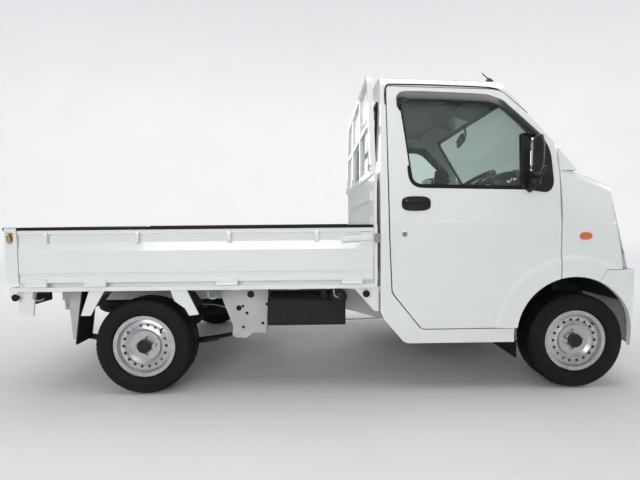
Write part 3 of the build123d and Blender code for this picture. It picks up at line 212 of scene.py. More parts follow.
# %% Paths and sweeps
def path_frames(path, closed, up):
    """At each point of a path, the two directions square to it: one level, one upright."""
    if closed:
        tangent = np.roll(path, -1, axis=0) - np.roll(path, 1, axis=0)
    else:
        tangent = np.gradient(path, axis=0)
    tangent /= np.linalg.norm(tangent, axis=1, keepdims=True)
    level = np.cross(tangent, np.array(up, float))
    level /= np.linalg.norm(level, axis=1, keepdims=True)
    return level, np.cross(level, tangent)


def sweep(path, profile, closed=False, up=(0, 0, 1)):
    """A profile carried along a path: point = path + a * level + b * upright."""
    path = np.array(path, float)
    level, upright = path_frames(path, closed, up)
    a, b = profile[None, :, :1], profile[None, :, 1:]
    points = path[:, None] + a * level[:, None] + b * upright[:, None]
    return grid_shape(points, wrap_rows=closed, wrap_columns=True, caps=not closed)


def smooth_path(points, steps=8):
    """A curve through the points: between two, a cubic whose ends lean along their neighbours."""
    points = np.array(points, float)
    first, last = 2 * points[0] - points[1], 2 * points[-1] - points[-2]
    padded = np.concatenate([[first], points, [last]])
    a, b, c, d = padded[:-3, None], padded[1:-2, None], padded[2:-1, None], padded[3:, None]
    t = (np.arange(steps) / steps).reshape(1, -1, 1)
    curve = 0.5 * (
        2 * b + (c - a) * t + (2 * a - 5 * b + 4 * c - d) * t**2 + (3 * b - a - 3 * c + d) * t**3
    )
    return np.concatenate([curve.reshape(-1, points.shape[1]), points[-1:]])


def bent(steps, *points):
    """A smooth path through places in millimetres."""
    return smooth_path(mm(*points), steps)


print("a bend through 3 places has", len(bent(8, (0, 0, 0), (9, 0, 0), (9, 9, 0))), "points")

# %% [markdown]
# Lamps, bolts and knobs are turned about an axis, and plates and pads are flat outlines with a
# thickness. Both are grids too: one row of points to each angle, or an outline at two depths.


# %% Turned and flat shapes
def lathe(profile, place, axis=(0, 1, 0), steps=48, closed=True):
    """A profile of (distance along the axis, radius), in millimetres, turned about the axis."""
    profile = mm(*profile)
    axis = np.array(axis, float) / np.linalg.norm(axis)
    side = np.array((0, 0, 1.0))
    if abs(side @ axis) > 0.9:
        side = np.array((1.0, 0, 0))
    side -= axis * (side @ axis)
    side /= np.linalg.norm(side)
    other = np.cross(axis, side)
    angle = np.arange(steps) * tau / steps
    around = np.cos(angle)[:, None] * side + np.sin(angle)[:, None] * other
    along = np.array(place, float) + profile[None, :, :1] * axis
    return grid_shape(along + profile[None, :, 1:] * around[:, None], wrap_rows=True, wrap_columns=closed)


def tube(path, radius, steps=10):
    """A round bar along a path, with its radius in millimetres."""
    up = (0, 0, 1)
    spread_out = np.ptp(np.array(path, float), axis=0)
    if spread_out[2] > 0.7 * np.linalg.norm(spread_out):
        up = (0.31, 0.95, 0) if spread_out[1] < spread_out[0] else (0.95, 0.31, 0)
    return sweep(path, ring(radius, radius, steps), up=up)


def slab(outline, low, high, plane="xz"):
    """A flat outline given a thickness from low to high along the axis that the plane leaves."""
    outline = np.array(outline, float)
    order = {"xz": (0, 2, 1), "xy": (0, 1, 2), "yz": (1, 2, 0)}[plane]
    points = np.zeros((2, len(outline), 3))
    points[..., order[0]] = outline[:, 0]
    points[..., order[1]] = outline[:, 1]
    points[0, :, order[2]], points[1, :, order[2]] = low, high
    return grid_shape(points, wrap_columns=True, caps=True)


def block(low, high):
    """A straight-sided bar between two corners, for a bevel to round."""
    (x0, y0, z0), (x1, y1, z1) = low, high
    return slab([(x0, y0), (x1, y0), (x1, y1), (x0, y1)], z0, z1, "xy")


def upright(line, x):
    """An outline of (y, z) stood up at one x."""
    return np.column_stack([np.full(len(line), x), line])


print("a block has", len(block((0, 0, 0), (1, 1, 1))[1]), "faces")

# %% [markdown]
# The truck's two sides are nearly the same, and its bolts, hooks and ribs repeat. A Mirror or
# Array modifier could copy them. Here the points are copied as arrays, so each piece is one mesh
# with its place in it. A mirrored face has its corners reversed, so that it still looks outwards.


# %% Joining, mirroring and moving shapes
def join(shapes):
    """Several shapes as one: their points in a row, and each face's numbers moved on to match."""
    points, faces, count = [], [], 0
    for shape_points, shape_faces in shapes:
        points.append(np.array(shape_points, float))
        faces += [[k + count for k in face] for face in shape_faces]
        count += len(shape_points)
    return np.concatenate(points), faces


def mirrored(shape):
    """A shape on the other side of the truck: Y changes sign and each face turns round."""
    points, faces = shape
    return points * (1, -1, 1), [face[::-1] for face in faces]


def moved(shape, offset):
    """A shape shifted by an offset."""
    return shape[0] + np.array(offset, float), shape[1]


def spread(shape, xs=(0,), ys=(0,), zs=(0,)):
    """Copies of a shape at every offset of the lists."""
    return join([moved(shape, (x, y, z)) for x in xs for y in ys for z in zs])


def turned(shape, matrix, place=(0, 0, 0)):
    """A shape turned by a matrix about a place."""
    place = np.array(place, float)
    return (shape[0] - place) @ np.array(matrix.to_3x3()).T + place, shape[1]


def both_sides(shape):
    """A shape and its mirror image as one."""
    return join([shape, mirrored(shape)])


print("two copies of a block have", len(spread(block((0, 0, 0), (1, 1, 1)), (0, 2))[1]), "faces")

# %% [markdown]
# A shape becomes a mesh object here, takes its finish and rides on the body that carries it. Sheet
# parts get their wall from Solidify, and moulded ones a small round from Bevel: real edges catch
# the light, and a sharp one looks drawn.

# %% Making a piece
SMOOTH_ANGLE, BEVEL_ANGLE = radians(38), radians(34)


def new_object(name, shape):
    """A smooth-shaded mesh object made from a shape."""
    mesh = bpy.data.meshes.new(name)
    mesh.from_pydata(np.asarray(shape[0]).tolist(), [], shape[1])
    mesh.polygons.foreach_set("use_smooth", np.ones(len(mesh.polygons), bool))
    item = bpy.data.objects.new(name, mesh)
    scene.collection.objects.link(item)
    return item


def piece(name, shape, finish, body="root", bevel=0.0, solid=0.0, slot=None):
    """One new piece of the truck: a shape with a finish, riding on a body.

    Doubles are merged so that seams and poles close, and faces are turned to point outwards.
    A sheet gets its wall from Solidify, and sharp edges are rounded by Bevel. The slot argument
    is not used."""
    item = new_object(name, shape)
    mesh = item.data
    work = bmesh.new()
    work.from_mesh(mesh)
    bmesh.ops.remove_doubles(work, verts=work.verts, dist=1e-6)
    bmesh.ops.dissolve_degenerate(work, edges=work.edges, dist=1e-7)
    bmesh.ops.recalc_face_normals(work, faces=work.faces)
    work.to_mesh(mesh)
    work.free()
    if solid:
        wall = item.modifiers.new("wall", "SOLIDIFY")
        wall.thickness = solid
        wall.offset = 0
    if bevel:
        edge = item.modifiers.new("edges", "BEVEL")
        edge.width = bevel
        edge.segments = 2
        edge.limit_method = "ANGLE"
        edge.angle_limit = BEVEL_ANGLE
        edge.harden_normals = True
    else:
        mesh.set_sharp_from_angle(angle=SMOOTH_ANGLE)
    mesh.materials.append(finish)
    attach(item, body)
    return item


def pair(name, shape, finish, **more):
    """A shape and its mirror image as one piece."""
    return piece(name, both_sides(shape), finish, **more)


def each_side(name, shape, finish, body, **more):
    """A piece on the right and its mirror image on the left, each riding its side's body."""
    return {side: piece(f"{name}_{side}", mirrored(shape) if side == "left" else shape, finish,
                        f"{body}_{side}", **more) for side in SIDES}


# %% [markdown]
# ## Finishes
# A finish is a small net of nodes. Noise in Object coordinates varies the colour and roughness a
# little, a fine bump breaks up the reflection, and a soft darkening near the ground stands for
# road dust. The helpers keep these together; each finish then says its own colours and scales.


# %% Node helpers
def add(net, kind, inputs, **settings):
    """A new shader node: its settings, then each input linked from a socket or held at a value."""
    made = net.nodes.new("ShaderNode" + kind)
    for name, value in settings.items():
        setattr(made, name, value)
    for name, value in inputs.items():
        feed(net, value, made.inputs[name])
    return made


def feed(net, value, socket):
    """Link an output into a socket, or hold the socket at a value; a colour gets its alpha."""
    if isinstance(value, bpy.types.NodeSocket):
        net.links.new(value, socket)
    else:
        socket.default_value = (*value, 1) if socket.type == "RGBA" else value


def parts_of(finish):
    """A finish's net, its shader and its Object coordinates."""
    net = finish.node_tree
    place = next(node for node in net.nodes if node.type == "TEX_COORD").outputs["Object"]
    return net, net.nodes["Principled BSDF"], place


def new_finish(name, slot):
    """A new material, for a material slot of the CAD, with what its net needs."""
    finish = bpy.data.materials.new(name)
    finish.use_nodes = True
    finish["slot"] = slot
    add(finish.node_tree, "TexCoord", {})
    return finish, *parts_of(finish)


# %% [markdown]
# Nothing on a used truck is one even colour. An image could carry the wear, but noise worked out
# from the place needs no unwrapping and shows no seams. Ranges and sums then shape the cloud.


# %% Noise, ranges and arithmetic
def noise(net, place, scale, detail=3.0, rough=0.5):
    """Cloudy values from 0 to 1 over the object, as many to a metre as the scale says."""
    inputs = {"Vector": place, "Scale": scale, "Detail": detail, "Roughness": rough}
    return add(net, "TexNoise", inputs).outputs["Fac"]


def between(net, value, low, high, out_low=0.0, out_high=1.0):
    """A value taken from one range to another, held at its ends."""
    inputs = {"Value": value, "From Min": low, "From Max": high, "To Min": out_low, "To Max": out_high}
    return add(net, "MapRange", inputs).outputs["Result"]


def maths(net, operation, *values):
    """One operation on one or two numbers."""
    return add(net, "Math", dict(enumerate(values)), operation=operation).outputs[0]


def vectors(net, operation, *values):
    """One operation on vectors. Its outputs are a vector and, for a length, a value."""
    return add(net, "VectorMath", dict(enumerate(values)), operation=operation).outputs


MIX_FACTOR, MIX_FIRST, MIX_SECOND, MIX_COLOUR = 0, 6, 7, 2


def mix_colour(net, share, first, second):
    """One colour passing into another as the share goes from 0 to 1."""
    inputs = {MIX_FACTOR: share, MIX_FIRST: first, MIX_SECOND: second}
    return add(net, "Mix", inputs, data_type="RGBA").outputs[MIX_COLOUR]


def bump(net, shader, height, strength, distance, **under):
    """Small relief from a height, in metres, over any relief given as its Normal."""
    inputs = {"Strength": strength, "Distance": distance, "Height": height, **under}
    feed(net, add(net, "Bump", inputs).outputs["Normal"], shader.inputs["Normal"])


def split_axes(net, vector):
    """The X, Y and Z of a vector."""
    return add(net, "SeparateXYZ", {"Vector": vector}).outputs


# %% [markdown]
# Nearly every finish on the truck is the same net with other numbers: sprayed paint, moulded
# plastic, rubber, cast iron and plated steel differ in colour, gloss, grain and dust. So one
# function builds the net, and each finish is a call that gives its own numbers.


# %% A worn finish
def worn_finish(name, slot, colour, shade, rough, scale, grain=0.0, grain_size=900.0, metal=0.0,
                coat=0.0, dust=None, dust_top=0.5, shine=0.5):
    """A solid colour with cloudy variation, a fine grain, a clear coat and dust low down.

    colour passes to shade with a cloud of the given scale; rough is the lowest and highest
    roughness; grain is the relief's height in metres; dust is the colour it takes near the
    ground, fading out at dust_top."""
    finish, net, shader, place = new_finish(name, slot)
    cloud = noise(net, place, scale, 4.0, 0.6)
    paint = mix_colour(net, between(net, cloud, 0.35, 0.7), colour, shade)
    if dust:
        low = between(net, split_axes(net, place)["Z"], 0.0, dust_top, 1.0, 0.0)
        speckle = between(net, noise(net, place, scale * 4, 6.0, 0.7), 0.3, 0.75)
        paint = mix_colour(net, maths(net, "MULTIPLY", low, speckle), paint, dust)
    values = {"Base Color": paint, "Roughness": between(net, cloud, 0.3, 0.75, *rough), "Metallic": metal,
              "Specular IOR Level": shine, "Coat Weight": coat, "Coat Roughness": 0.04}
    for socket, value in values.items():
        feed(net, value, shader.inputs[socket])
    if grain:
        bump(net, shader, noise(net, place, grain_size, 2.0), 0.5, grain)
    return finish


# %% [markdown]
# Pressed panels are painted before they are sealed and trimmed, so one panel shows several
# finishes: white outside, black sealer inside the wheel arch, grey trim inside the cab. A mask
# says which is which from the place alone: 1 inside a box or a drum, 0 outside it.


# %% Masks by place
FAR = 9


def inside_box(net, place, low, high):
    """1 where a point lies between two corners: each axis passes when |p - middle| < half."""
    low, high = np.array(low), np.array(high)
    shift = vectors(net, "SUBTRACT", place, ((low + high) / 2).tolist())[0]
    axes = split_axes(net, vectors(net, "ABSOLUTE", shift)[0])
    tests = [maths(net, "LESS_THAN", axes[axis], half) for axis, half in zip("XYZ", (high - low) / 2)]
    return maths(net, "MULTIPLY", maths(net, "MULTIPLY", *tests[:2]), tests[2])


def inside_drum(net, place, x, z, radius, half_width):
    """1 where a point lies inside a drum along Y, by its distance from the drum's axis."""
    shift = vectors(net, "SUBTRACT", place, (x, 0, z))[0]
    flat = vectors(net, "MULTIPLY", shift, (1, 0, 1))[0]
    near = maths(net, "LESS_THAN", vectors(net, "LENGTH", flat)["Value"], radius)
    level = inside_box(net, place, (-FAR, -half_width, -FAR), (FAR, half_width, FAR))
    return maths(net, "MULTIPLY", near, level)


def layered_finish(name, base, layers):
    """A copy of a solid finish with other colours where masks say so.

    Each layer is a form, a colour and a roughness. A form is a box's two corners or a drum's
    four numbers; metal and coat stay the base's."""
    finish = base.copy()
    finish.name = name
    net, shader, place = parts_of(finish)
    colour = shader.inputs["Base Color"].links[0].from_socket
    rough = shader.inputs["Roughness"].links[0].from_socket
    coat = None
    for form, layer_colour, layer_rough in layers:
        mask = (inside_drum if len(form) == 4 else inside_box)(net, place, *form)
        cloud = between(net, noise(net, place, 60.0, 4.0, 0.6), 0.3, 0.7)
        patch = mix_colour(net, cloud, layer_colour, tuple(c * 1.45 for c in layer_colour))
        colour = mix_colour(net, mask, colour, patch)
        bare = between(net, mask, 0, 1, 1, 0)
        other = maths(net, "MULTIPLY", mask, layer_rough)
        rough = maths(net, "ADD", maths(net, "MULTIPLY", bare, rough), other)
        coat = bare if coat is None else maths(net, "MULTIPLY", coat, bare)
    weight = shader.inputs["Coat Weight"].default_value
    feed(net, colour, shader.inputs["Base Color"])
    feed(net, rough, shader.inputs["Roughness"])
    feed(net, between(net, coat, 0, 1, 0, weight), shader.inputs["Coat Weight"])
    return finish


# %% [markdown]
# The body is white paint under a clear coat, with the faint ripple of a sprayed surface. The frame
# rails are the body's white darkened to grey, a painted shade for the shadow under the bed, and they
# gather road dust. Pressed steel wheels are silver. Plastics are near black with a moulded grain, and rubber is
# duller still.

# %% Paint, plastic, rubber and metal
paint = worn_finish("white_paint", "body_paint", (0.83, 0.84, 0.83), (0.80, 0.81, 0.805), (0.16, 0.26),
                    1.6, 0.00012, 260.0, coat=0.6, dust=(0.66, 0.65, 0.62), dust_top=0.42)
# The frame rails' grey is painted shade: their white body paint darkened for the shadow under the bed. The dust
# near the ground is real.
frame_paint = worn_finish("frame_paint", "chassis_paint", (0.60, 0.61, 0.60), (0.54, 0.545, 0.53),
                          (0.4, 0.6), 4.0, 0.0003, 300.0, dust=(0.42, 0.40, 0.37))
under_paint = worn_finish("under_paint", "chassis_paint", (0.010, 0.010, 0.011), (0.020, 0.019, 0.018),
                          (0.5, 0.8), 9.0, 0.0004, 320.0, dust=(0.035, 0.033, 0.030), dust_top=0.6,
                          shine=0.25)
silver = worn_finish("wheel_silver", "wheel_paint", (0.58, 0.59, 0.60), (0.47, 0.48, 0.49), (0.26, 0.38),
                     14.0, 0.00015, 500.0, metal=0.8, coat=0.3, dust=(0.42, 0.40, 0.37))
steel = worn_finish("bare_steel", "steel", (0.42, 0.42, 0.41), (0.25, 0.23, 0.21), (0.32, 0.6),
                    18.0, 0.0002, 500.0, metal=0.85)
zinc = worn_finish("yellow_zinc", "steel", (0.62, 0.50, 0.22), (0.52, 0.46, 0.30), (0.25, 0.4), 30.0,
                   metal=0.9)
cast_iron = worn_finish("cast_iron", "engine_iron", (0.10, 0.10, 0.10), (0.17, 0.155, 0.14), (0.5, 0.85),
                        12.0, 0.001, 240.0)
black_plastic = worn_finish("black_plastic", "black_plastic", (0.009, 0.009, 0.010),
                            (0.016, 0.016, 0.017), (0.35, 0.55), 9.0, 0.00025, 1400.0, shine=0.32)
dash_plastic = worn_finish("dash_plastic", "black_plastic", (0.085, 0.088, 0.092),
                           (0.11, 0.112, 0.116), (0.5, 0.68), 5.0, 0.0003, 1500.0)
trim_plastic = worn_finish("trim_plastic", "dash_plastic", (0.20, 0.205, 0.21), (0.235, 0.24, 0.245),
                           (0.5, 0.7), 5.0, 0.0003, 1300.0)
rubber = worn_finish("rubber", "rubber", (0.008, 0.008, 0.0085), (0.016, 0.016, 0.016), (0.6, 0.85),
                     16.0, 0.0003, 700.0, shine=0.22)
tyre_rubber = worn_finish("tyre_rubber", "tyre", (0.0045, 0.0045, 0.005), (0.008, 0.008, 0.0078),
                          (0.5, 0.7), 11.0, 0.0002, 900.0, dust=(0.016, 0.015, 0.014), dust_top=0.06,
                          shine=0.2)
headliner = worn_finish("headliner", "dash_plastic", (0.36, 0.37, 0.37), (0.31, 0.32, 0.32), (0.8, 0.95),
                        20.0, 0.0008, 900.0)
mat_carpet = worn_finish("floor_mat", "rubber", (0.03, 0.03, 0.032), (0.06, 0.058, 0.055), (0.7, 0.95),
                         22.0, 0.0012, 500.0)
print(len(bpy.data.materials), "finishes so far")

# %% [markdown]
# Glass is a thin pane with a faint green tint. A see-through shader bends no light, so the cab
# behind it keeps its place; a small share of gloss gives the reflection. Lamp lenses are clear,
# and coloured ones are tinted plastic under a glossy coat.


# %% Glass and lenses
def clear_finish(name, slot, tint, share_clear):
    """A see-through sheet: tinted clear view mixed with gloss, more gloss at a shallow angle."""
    finish, net, shader, place = new_finish(name, slot)
    view = add(net, "BsdfTransparent", {"Color": tint})
    smear = between(net, noise(net, place, 9.0, 5.0), 0.3, 0.8, 0.02, 0.08)
    feed(net, smear, shader.inputs["Roughness"])
    feed(net, [c * 0.35 for c in tint], shader.inputs["Base Color"])
    facing = add(net, "LayerWeight", {"Blend": 0.25}).outputs["Facing"]
    share = between(net, facing, 0.0, 1.0, 1 - share_clear, 0.92)
    mixer = add(net, "MixShader", {"Fac": share, 1: view.outputs[0], 2: shader.outputs[0]})
    feed(net, mixer.outputs[0], net.nodes["Material Output"].inputs["Surface"])
    return finish


window_glass = clear_finish("window_glass", "window_glass", (0.90, 0.95, 0.93), 0.95)
lens_clear = clear_finish("lens_clear", "lamp_glass", (0.95, 0.97, 1.0), 0.86)
visor_black = worn_finish("visor_black", "black_plastic", (0.006, 0.006, 0.0065), (0.010, 0.010, 0.011),
                          (0.22, 0.34), 12.0, coat=0.08)
lens_red = worn_finish("lens_red", "lamp_red", (0.50, 0.015, 0.012), (0.36, 0.01, 0.01), (0.1, 0.2),
                       30.0, coat=0.8)
lens_amber = worn_finish("lens_amber", "lamp_red", (0.72, 0.19, 0.03), (0.60, 0.13, 0.02), (0.1, 0.2),
                         30.0, coat=0.8)
lens_white = worn_finish("lens_white", "lamp_glass", (0.78, 0.79, 0.80), (0.65, 0.66, 0.68),
                         (0.08, 0.2), 40.0, coat=0.8)
mirror_glass = worn_finish("mirror_glass", "window_glass", (0.80, 0.82, 0.84), (0.76, 0.78, 0.80),
                           (0.02, 0.05), 3.0, metal=1.0)
chrome = worn_finish("chrome", "steel", (0.75, 0.76, 0.77), (0.70, 0.71, 0.72), (0.06, 0.14), 12.0,
                     metal=1.0)

# %% [markdown]
# The CAD solids carry the names of their materials, so most take a finish by that name. The cab
# shell and the front panel need more than one, and get masks. The pressed crease lines along the
# side are bump from a formula, because they are far shallower than the panel is thick.

# %% Finishes for the frame's own solids
NODE_FINISH = {
    "body_paint": paint,
    "black_plastic": black_plastic,
    "chassis_paint": under_paint,
    "steel": steel,
    "wheel_paint": silver,
    "tyre": tyre_rubber,
    "rubber": rubber,
    "dash_plastic": dash_plastic,
    "seat_vinyl": trim_plastic,
    "lamp_red": lens_red,
    "lamp_glass": lens_clear,
    "window_glass": window_glass,
    "engine_iron": cast_iron,
}
slots = {part["node"]: part["material_slot"] for part in frame["record"]["subparts"]}
for name, item in nodes.items():
    item.data.materials.clear()
    item.data.materials.append(NODE_FINISH[slots[name]])
# Black sealer in the wheel houses and under the cab floor; on the nose's inner walls the same black is painted
# shade.
SEALER_AND_SHADE_BLACK, TRIM_GREY = (0.010, 0.010, 0.010), (0.16, 0.165, 0.17)
MAT_BLACK, LINING = (0.022, 0.022, 0.023), (0.30, 0.305, 0.31)
WHEEL_HOUSE = (FX - 0.010, 0.300, 0.336, 0.7005)
front_sealer_and_shade = layered_finish("front_panel_finish", paint, [
    (WHEEL_HOUSE, SEALER_AND_SHADE_BLACK, 0.75),
    # The nose's white inner walls are painted black: painted shade for the closed space behind the grille.
    (((FX - 0.2, -0.695, 0.2), (FX + 0.316, 0.695, 0.9)), SEALER_AND_SHADE_BLACK, 0.7),
])
cab_seal = layered_finish("cab_shell_finish", paint, [
    (((-FAR, -0.612, -FAR), (FAR, 0.612, 0.4115)), SEALER_AND_SHADE_BLACK, 0.7),
    (((CAB_REAR + 0.047, -0.6785, 0.4385), (FX + 0.02, 0.6785, 0.70)), MAT_BLACK, 0.85),
    (((CAB_REAR + 0.047, -0.6815, 0.70), (FX - 0.06, 0.6815, 1.186)), TRIM_GREY, 0.6),
    (((CAB_REAR + 0.049, -0.545, 1.60), (FX - 0.40, 0.545, 1.716)), LINING, 0.9),
])
# A crease's line is z + fall * x = constant; each has its foot and its depth in metres
CREASE_FALL, CREASES, CREASE_RISE = 0.019, ((0.666, 0.003), (0.930, 0.004)), 0.010


def creased(finish):
    """Two creases pressed along the sides, as relief: the panel steps in above each of two lines
    where it faces sideways, and the shift fades out towards the middle."""
    net, shader, place = parts_of(finish)
    axes = split_axes(net, place)
    fall = between(net, axes["X"], -10, 10, -10 * CREASE_FALL, 10 * CREASE_FALL)
    line = maths(net, "ADD", axes["Z"], fall)
    steps = [between(net, line, low, low + CREASE_RISE, depth, 0.0) for low, depth in CREASES]
    width = maths(net, "MULTIPLY", axes["Y"], axes["Y"])
    height = maths(net, "MULTIPLY", maths(net, "ADD", *steps), between(net, width, 0.64**2, 0.70**2))
    bump(net, shader, height, 0.8, 1.0, Normal=shader.inputs["Normal"].links[0].from_socket)
    return finish


side_paint = paint.copy()
side_paint.name = "side_paint"
# The chassis frame takes the grey that is painted shade under the bed.
node_finishes = {"chassis_frame": frame_paint, "tail_lamps": black_plastic,
                 "front_panel": creased(front_sealer_and_shade), "cab_shell": creased(cab_seal),
                 "door_right": creased(side_paint), "door_left": side_paint}
for name, finish in node_finishes.items():
    nodes[name].data.materials[0] = finish
print("finished", len(nodes), "solids")

# %% [markdown]
# ## Tyres
# A tyre is a ring whose section runs from one bead over the tread to the other. Moulded grooves
# could be drawn with bump, but their edges show against the light, so they are real here: the
# ring is a grid of angle by section, and each point moves in towards the axle where a groove
# runs. The angles bunch up at each groove's edges, so few points give crisp blocks.

# %% Tread and sidewalls
SHOULDER_HALF = 0.0725
GROOVE_DEPTH = 0.0065
TREAD_BLOCKS = 62
# Half of the section from the middle of the tread to the bead, in millimetres: across and
# radius, with the share of a groove's depth.
TYRE_SECTION = np.array([
    (0, 262, 0), (3.5, 262, 0), (4.2, 261.9, 0), (13, 261.8, 0), (13.8, 261.7, 1), (19.6, 261.6, 1),
    (20.4, 261.6, 0), (33, 261.2, 0), (33.8, 261.2, 1), (38.4, 261, 1), (39.2, 261, 0), (48, 260.2, 0),
    (54, 258.8, 0), (60, 255.6, 0), (64.8, 250, 0), (66.8, 245, 0), (67.2, 243.5, 0), (69.4, 242.5, 0),
    (71.2, 233, 0), (72.2, 223, 0), (72.5, 215, 0), (72.2, 208, 0), (72.8, 206.5, 0), (72.8, 203.5, 0),
    (71.6, 202, 0), (70, 193, 0), (66.8, 184, 0), (65, 180, 0), (65.2, 178.5, 0), (60, 173, 0),
    (55.5, 169.5, 0), (53, 168, 0),
]) / (1000, 1000, 1)


def tyre_shape(place, out):
    """A tyre about an axle along Y, its written side facing out, with its inner wall.

    radius = section radius - depth where a groove runs. Two grooves a side run right round; the
    cross grooves run out over the shoulder, each a set share of a block wide, and lean with it."""
    half = TYRE_SECTION
    section = np.concatenate([half[:0:-1] * (-1, 1, 1), half])
    share = np.array([0.0, 0.02, 0.16, 0.18, 0.56, 0.57, 0.60, 0.61])
    angle = ((np.arange(TREAD_BLOCKS)[:, None] + share) / TREAD_BLOCKS * tau).reshape(-1)
    along = np.tile(share, TREAD_BLOCKS)[:, None]
    across, radius, round_groove = section.T
    distance = abs(across)
    cross = (along > 0.01) & (along < 0.17) & (distance > 0.0210) & (distance < 0.0655)
    sipe = (along > 0.565) & (along < 0.605) & (distance > 0.0036) & (distance < 0.0600)
    depth = GROOVE_DEPTH * np.maximum(round_groove, np.maximum(cross * 1.0, sipe * 0.6))
    swirl = np.sign(across) * np.clip(distance - 0.02, 0, 0.04) * 1.3
    turn = angle[:, None] + swirl
    reach = radius - depth
    points = np.zeros((len(angle), len(section), 3))
    points[..., 0] = place[0] + reach * np.sin(turn)
    points[..., 1] = place[1] + out * across
    points[..., 2] = place[2] + reach * np.cos(turn)
    wall = lathe([(-53, 168), (-40, 167.5), (40, 167.5), (53, 168)], place, (0, out, 0), 96, closed=False)
    return join([grid_shape(points, wrap_rows=True), wall])


for corner, (place, out) in WHEELS.items():
    item = piece(f"tread_{corner}", tyre_shape(place, out), tyre_rubber, f"wheel_{corner}")
    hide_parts(f"tyre_{corner}")
print("four tyres of", len(item.data.polygons), "faces")

# %% [markdown]
# The spare lies flat under the bed's rear end. Its tyre is the same ring turned onto its side,
# with a pressed disc in the middle and the crossbar that it hangs from.

# %% Spare wheel
spare_low, spare_high = corners("spare_wheel")
spare_place = np.array([(spare_low[0] + spare_high[0]) / 2, 0, spare_low[2] + SHOULDER_HALF])
spare_tyre = turned(tyre_shape(spare_place, 1), Matrix.Rotation(radians(90), 4, "X"), spare_place)
spare_disc = lathe(
    [(-58, 167), (-53, 167), (-53, 152), (30, 147), (36, 128), (46, 96), (34, 80), (30, 1), (26, 1),
     (30, 78), (42, 96), (32, 124), (22, 143), (-58, 147)], spare_place, (0, 0, -1), 64)
spare_bolt = lathe([(-20, 1), (-20, 20), (90, 20), (90, 1)], spare_place, (0, 0, 1), 6)
spare = piece("spare_tyre", spare_tyre, tyre_rubber)
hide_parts("spare_wheel")
piece("spare_disc", join([spare_disc, spare_bolt]), silver)
piece("spare_hanger", block(spare_place + mm(-16, -335, 66), spare_place + mm(16, 335, 90)), under_paint,
      bevel=0.003)
print("spare wheel at", spare_place)

# %% [markdown]
# ## Wheels
# The pressed steel wheels come from the frame with their vents and nuts. What they lack is small:
# a dark hub cover, the rubber valve and a balance weight on the lip.

# %% Hub covers, valves and weights
VALVE_ANGLE, VALVE_RADIUS, WEIGHT_ANGLE, LIP_RADIUS = 0.8, 0.137, radians(200), 0.1635
lean = np.array((sin(VALVE_ANGLE), 0, cos(VALVE_ANGLE)))
arc = WEIGHT_ANGLE + np.linspace(-0.11, 0.11, 7)
for corner, (place, out) in WHEELS.items():
    body = f"wheel_{corner}"
    hub = lathe([(50, 38.5), (60, 38.5), (66.5, 34), (66.8, 26), (64.5, 23), (65, 1), (50, 1)],
                place, (0, out, 0), 40)
    valve = lathe([(0, 1), (0, 7), (6, 5), (14, 4.2), (15, 5), (24, 5), (25, 1)],
                  place + lean * VALVE_RADIUS + (0, out * 0.040, 0), lean * -0.4 + (0, out, 0), 12)
    lip = np.stack([LIP_RADIUS * np.sin(arc), np.full(7, out * 0.0585), LIP_RADIUS * np.cos(arc)], -1)
    weight = sweep(place + lip, bar(3, 5, 2), up=(0, 1, 0))
    piece(f"hub_cover_{corner}", hub, black_plastic, body)
    piece(f"valve_{corner}", valve, rubber, body)
    piece(f"balance_weight_{corner}", weight, steel, body)
print("hubs dressed")

# %% [markdown]
# ## The cab's side surface
# Trim on a curved panel has to follow the panel. The cab's side is upright up to the belt and
# then leans in along one arc; its section also drops a little towards the front. The same arc as
# a formula gives the side of the cab at any place, so trim can be laid on it exactly.

# %% Side surface
BELT = ((0.729, 0.930), (0.688, 1.300), (0.616, 1.665))
CAB_REAR_LEAN = 0.025
ROOF_FALL = 0.035
SECTION_START = CAB_REAR - 0.010


def circle_through(first, second, third):
    """Centre and radius of the circle through three points, from their equal distances."""
    a, b, c = (np.array(p, float) for p in (first, second, third))
    matrix = 2 * np.array([b - a, c - a])
    centre = np.linalg.solve(matrix, np.array([b @ b - a @ a, c @ c - a @ a]))
    return centre, np.linalg.norm(a - centre)


belt_centre, belt_radius = circle_through(*BELT)


def cab_side(x, z):
    """Half width of the cab at a place: the arc's y = centre + sqrt(radius^2 - rise^2)."""
    z = np.asarray(z, float) + ROOF_FALL * (np.asarray(x, float) - SECTION_START)
    rise = np.clip(z - belt_centre[1], -belt_radius, belt_radius)
    lean = belt_centre[0] + np.sqrt(belt_radius**2 - rise**2)
    return np.where(z > BELT[0][1], lean, BELT[0][0])


def on_cab_side(outline, stand=0.0):
    """Points (x, z) laid on the right side of the cab, standing off it by a distance."""
    x, z = outline[..., 0], outline[..., 1]
    return np.stack([x, -(cab_side(x, z) + stand), z], axis=-1)


def from_axle(*outline):
    """Millimetres measured forward from the front axle and up, as metres in the frame."""
    return mm(*outline) + (FX, 0)


def domed(line, rows, lay=on_cab_side, caps=True):
    """Nested copies of an outline: each row says its share of the size and, in millimetres, how
    far it stands off the surface that the copies are laid on."""
    middle = line.mean(axis=0)
    grid = [lay(middle + (line - middle) * share, stand / 1000) for share, stand in rows]
    return grid_shape(grid, wrap_columns=True, caps=caps)


print("half width at belt and roof edge:", cab_side(0.5, 0.93), cab_side(0.5, 1.66))

# %% [markdown]
# ## Door windows
# A black rubber seal runs round each window opening, and a smoked wind deflector is stuck over
# its top and rear edge. The deflector is a strip between two lines: one close to the door and
# one, lower, standing off it, with a bulged section between them.

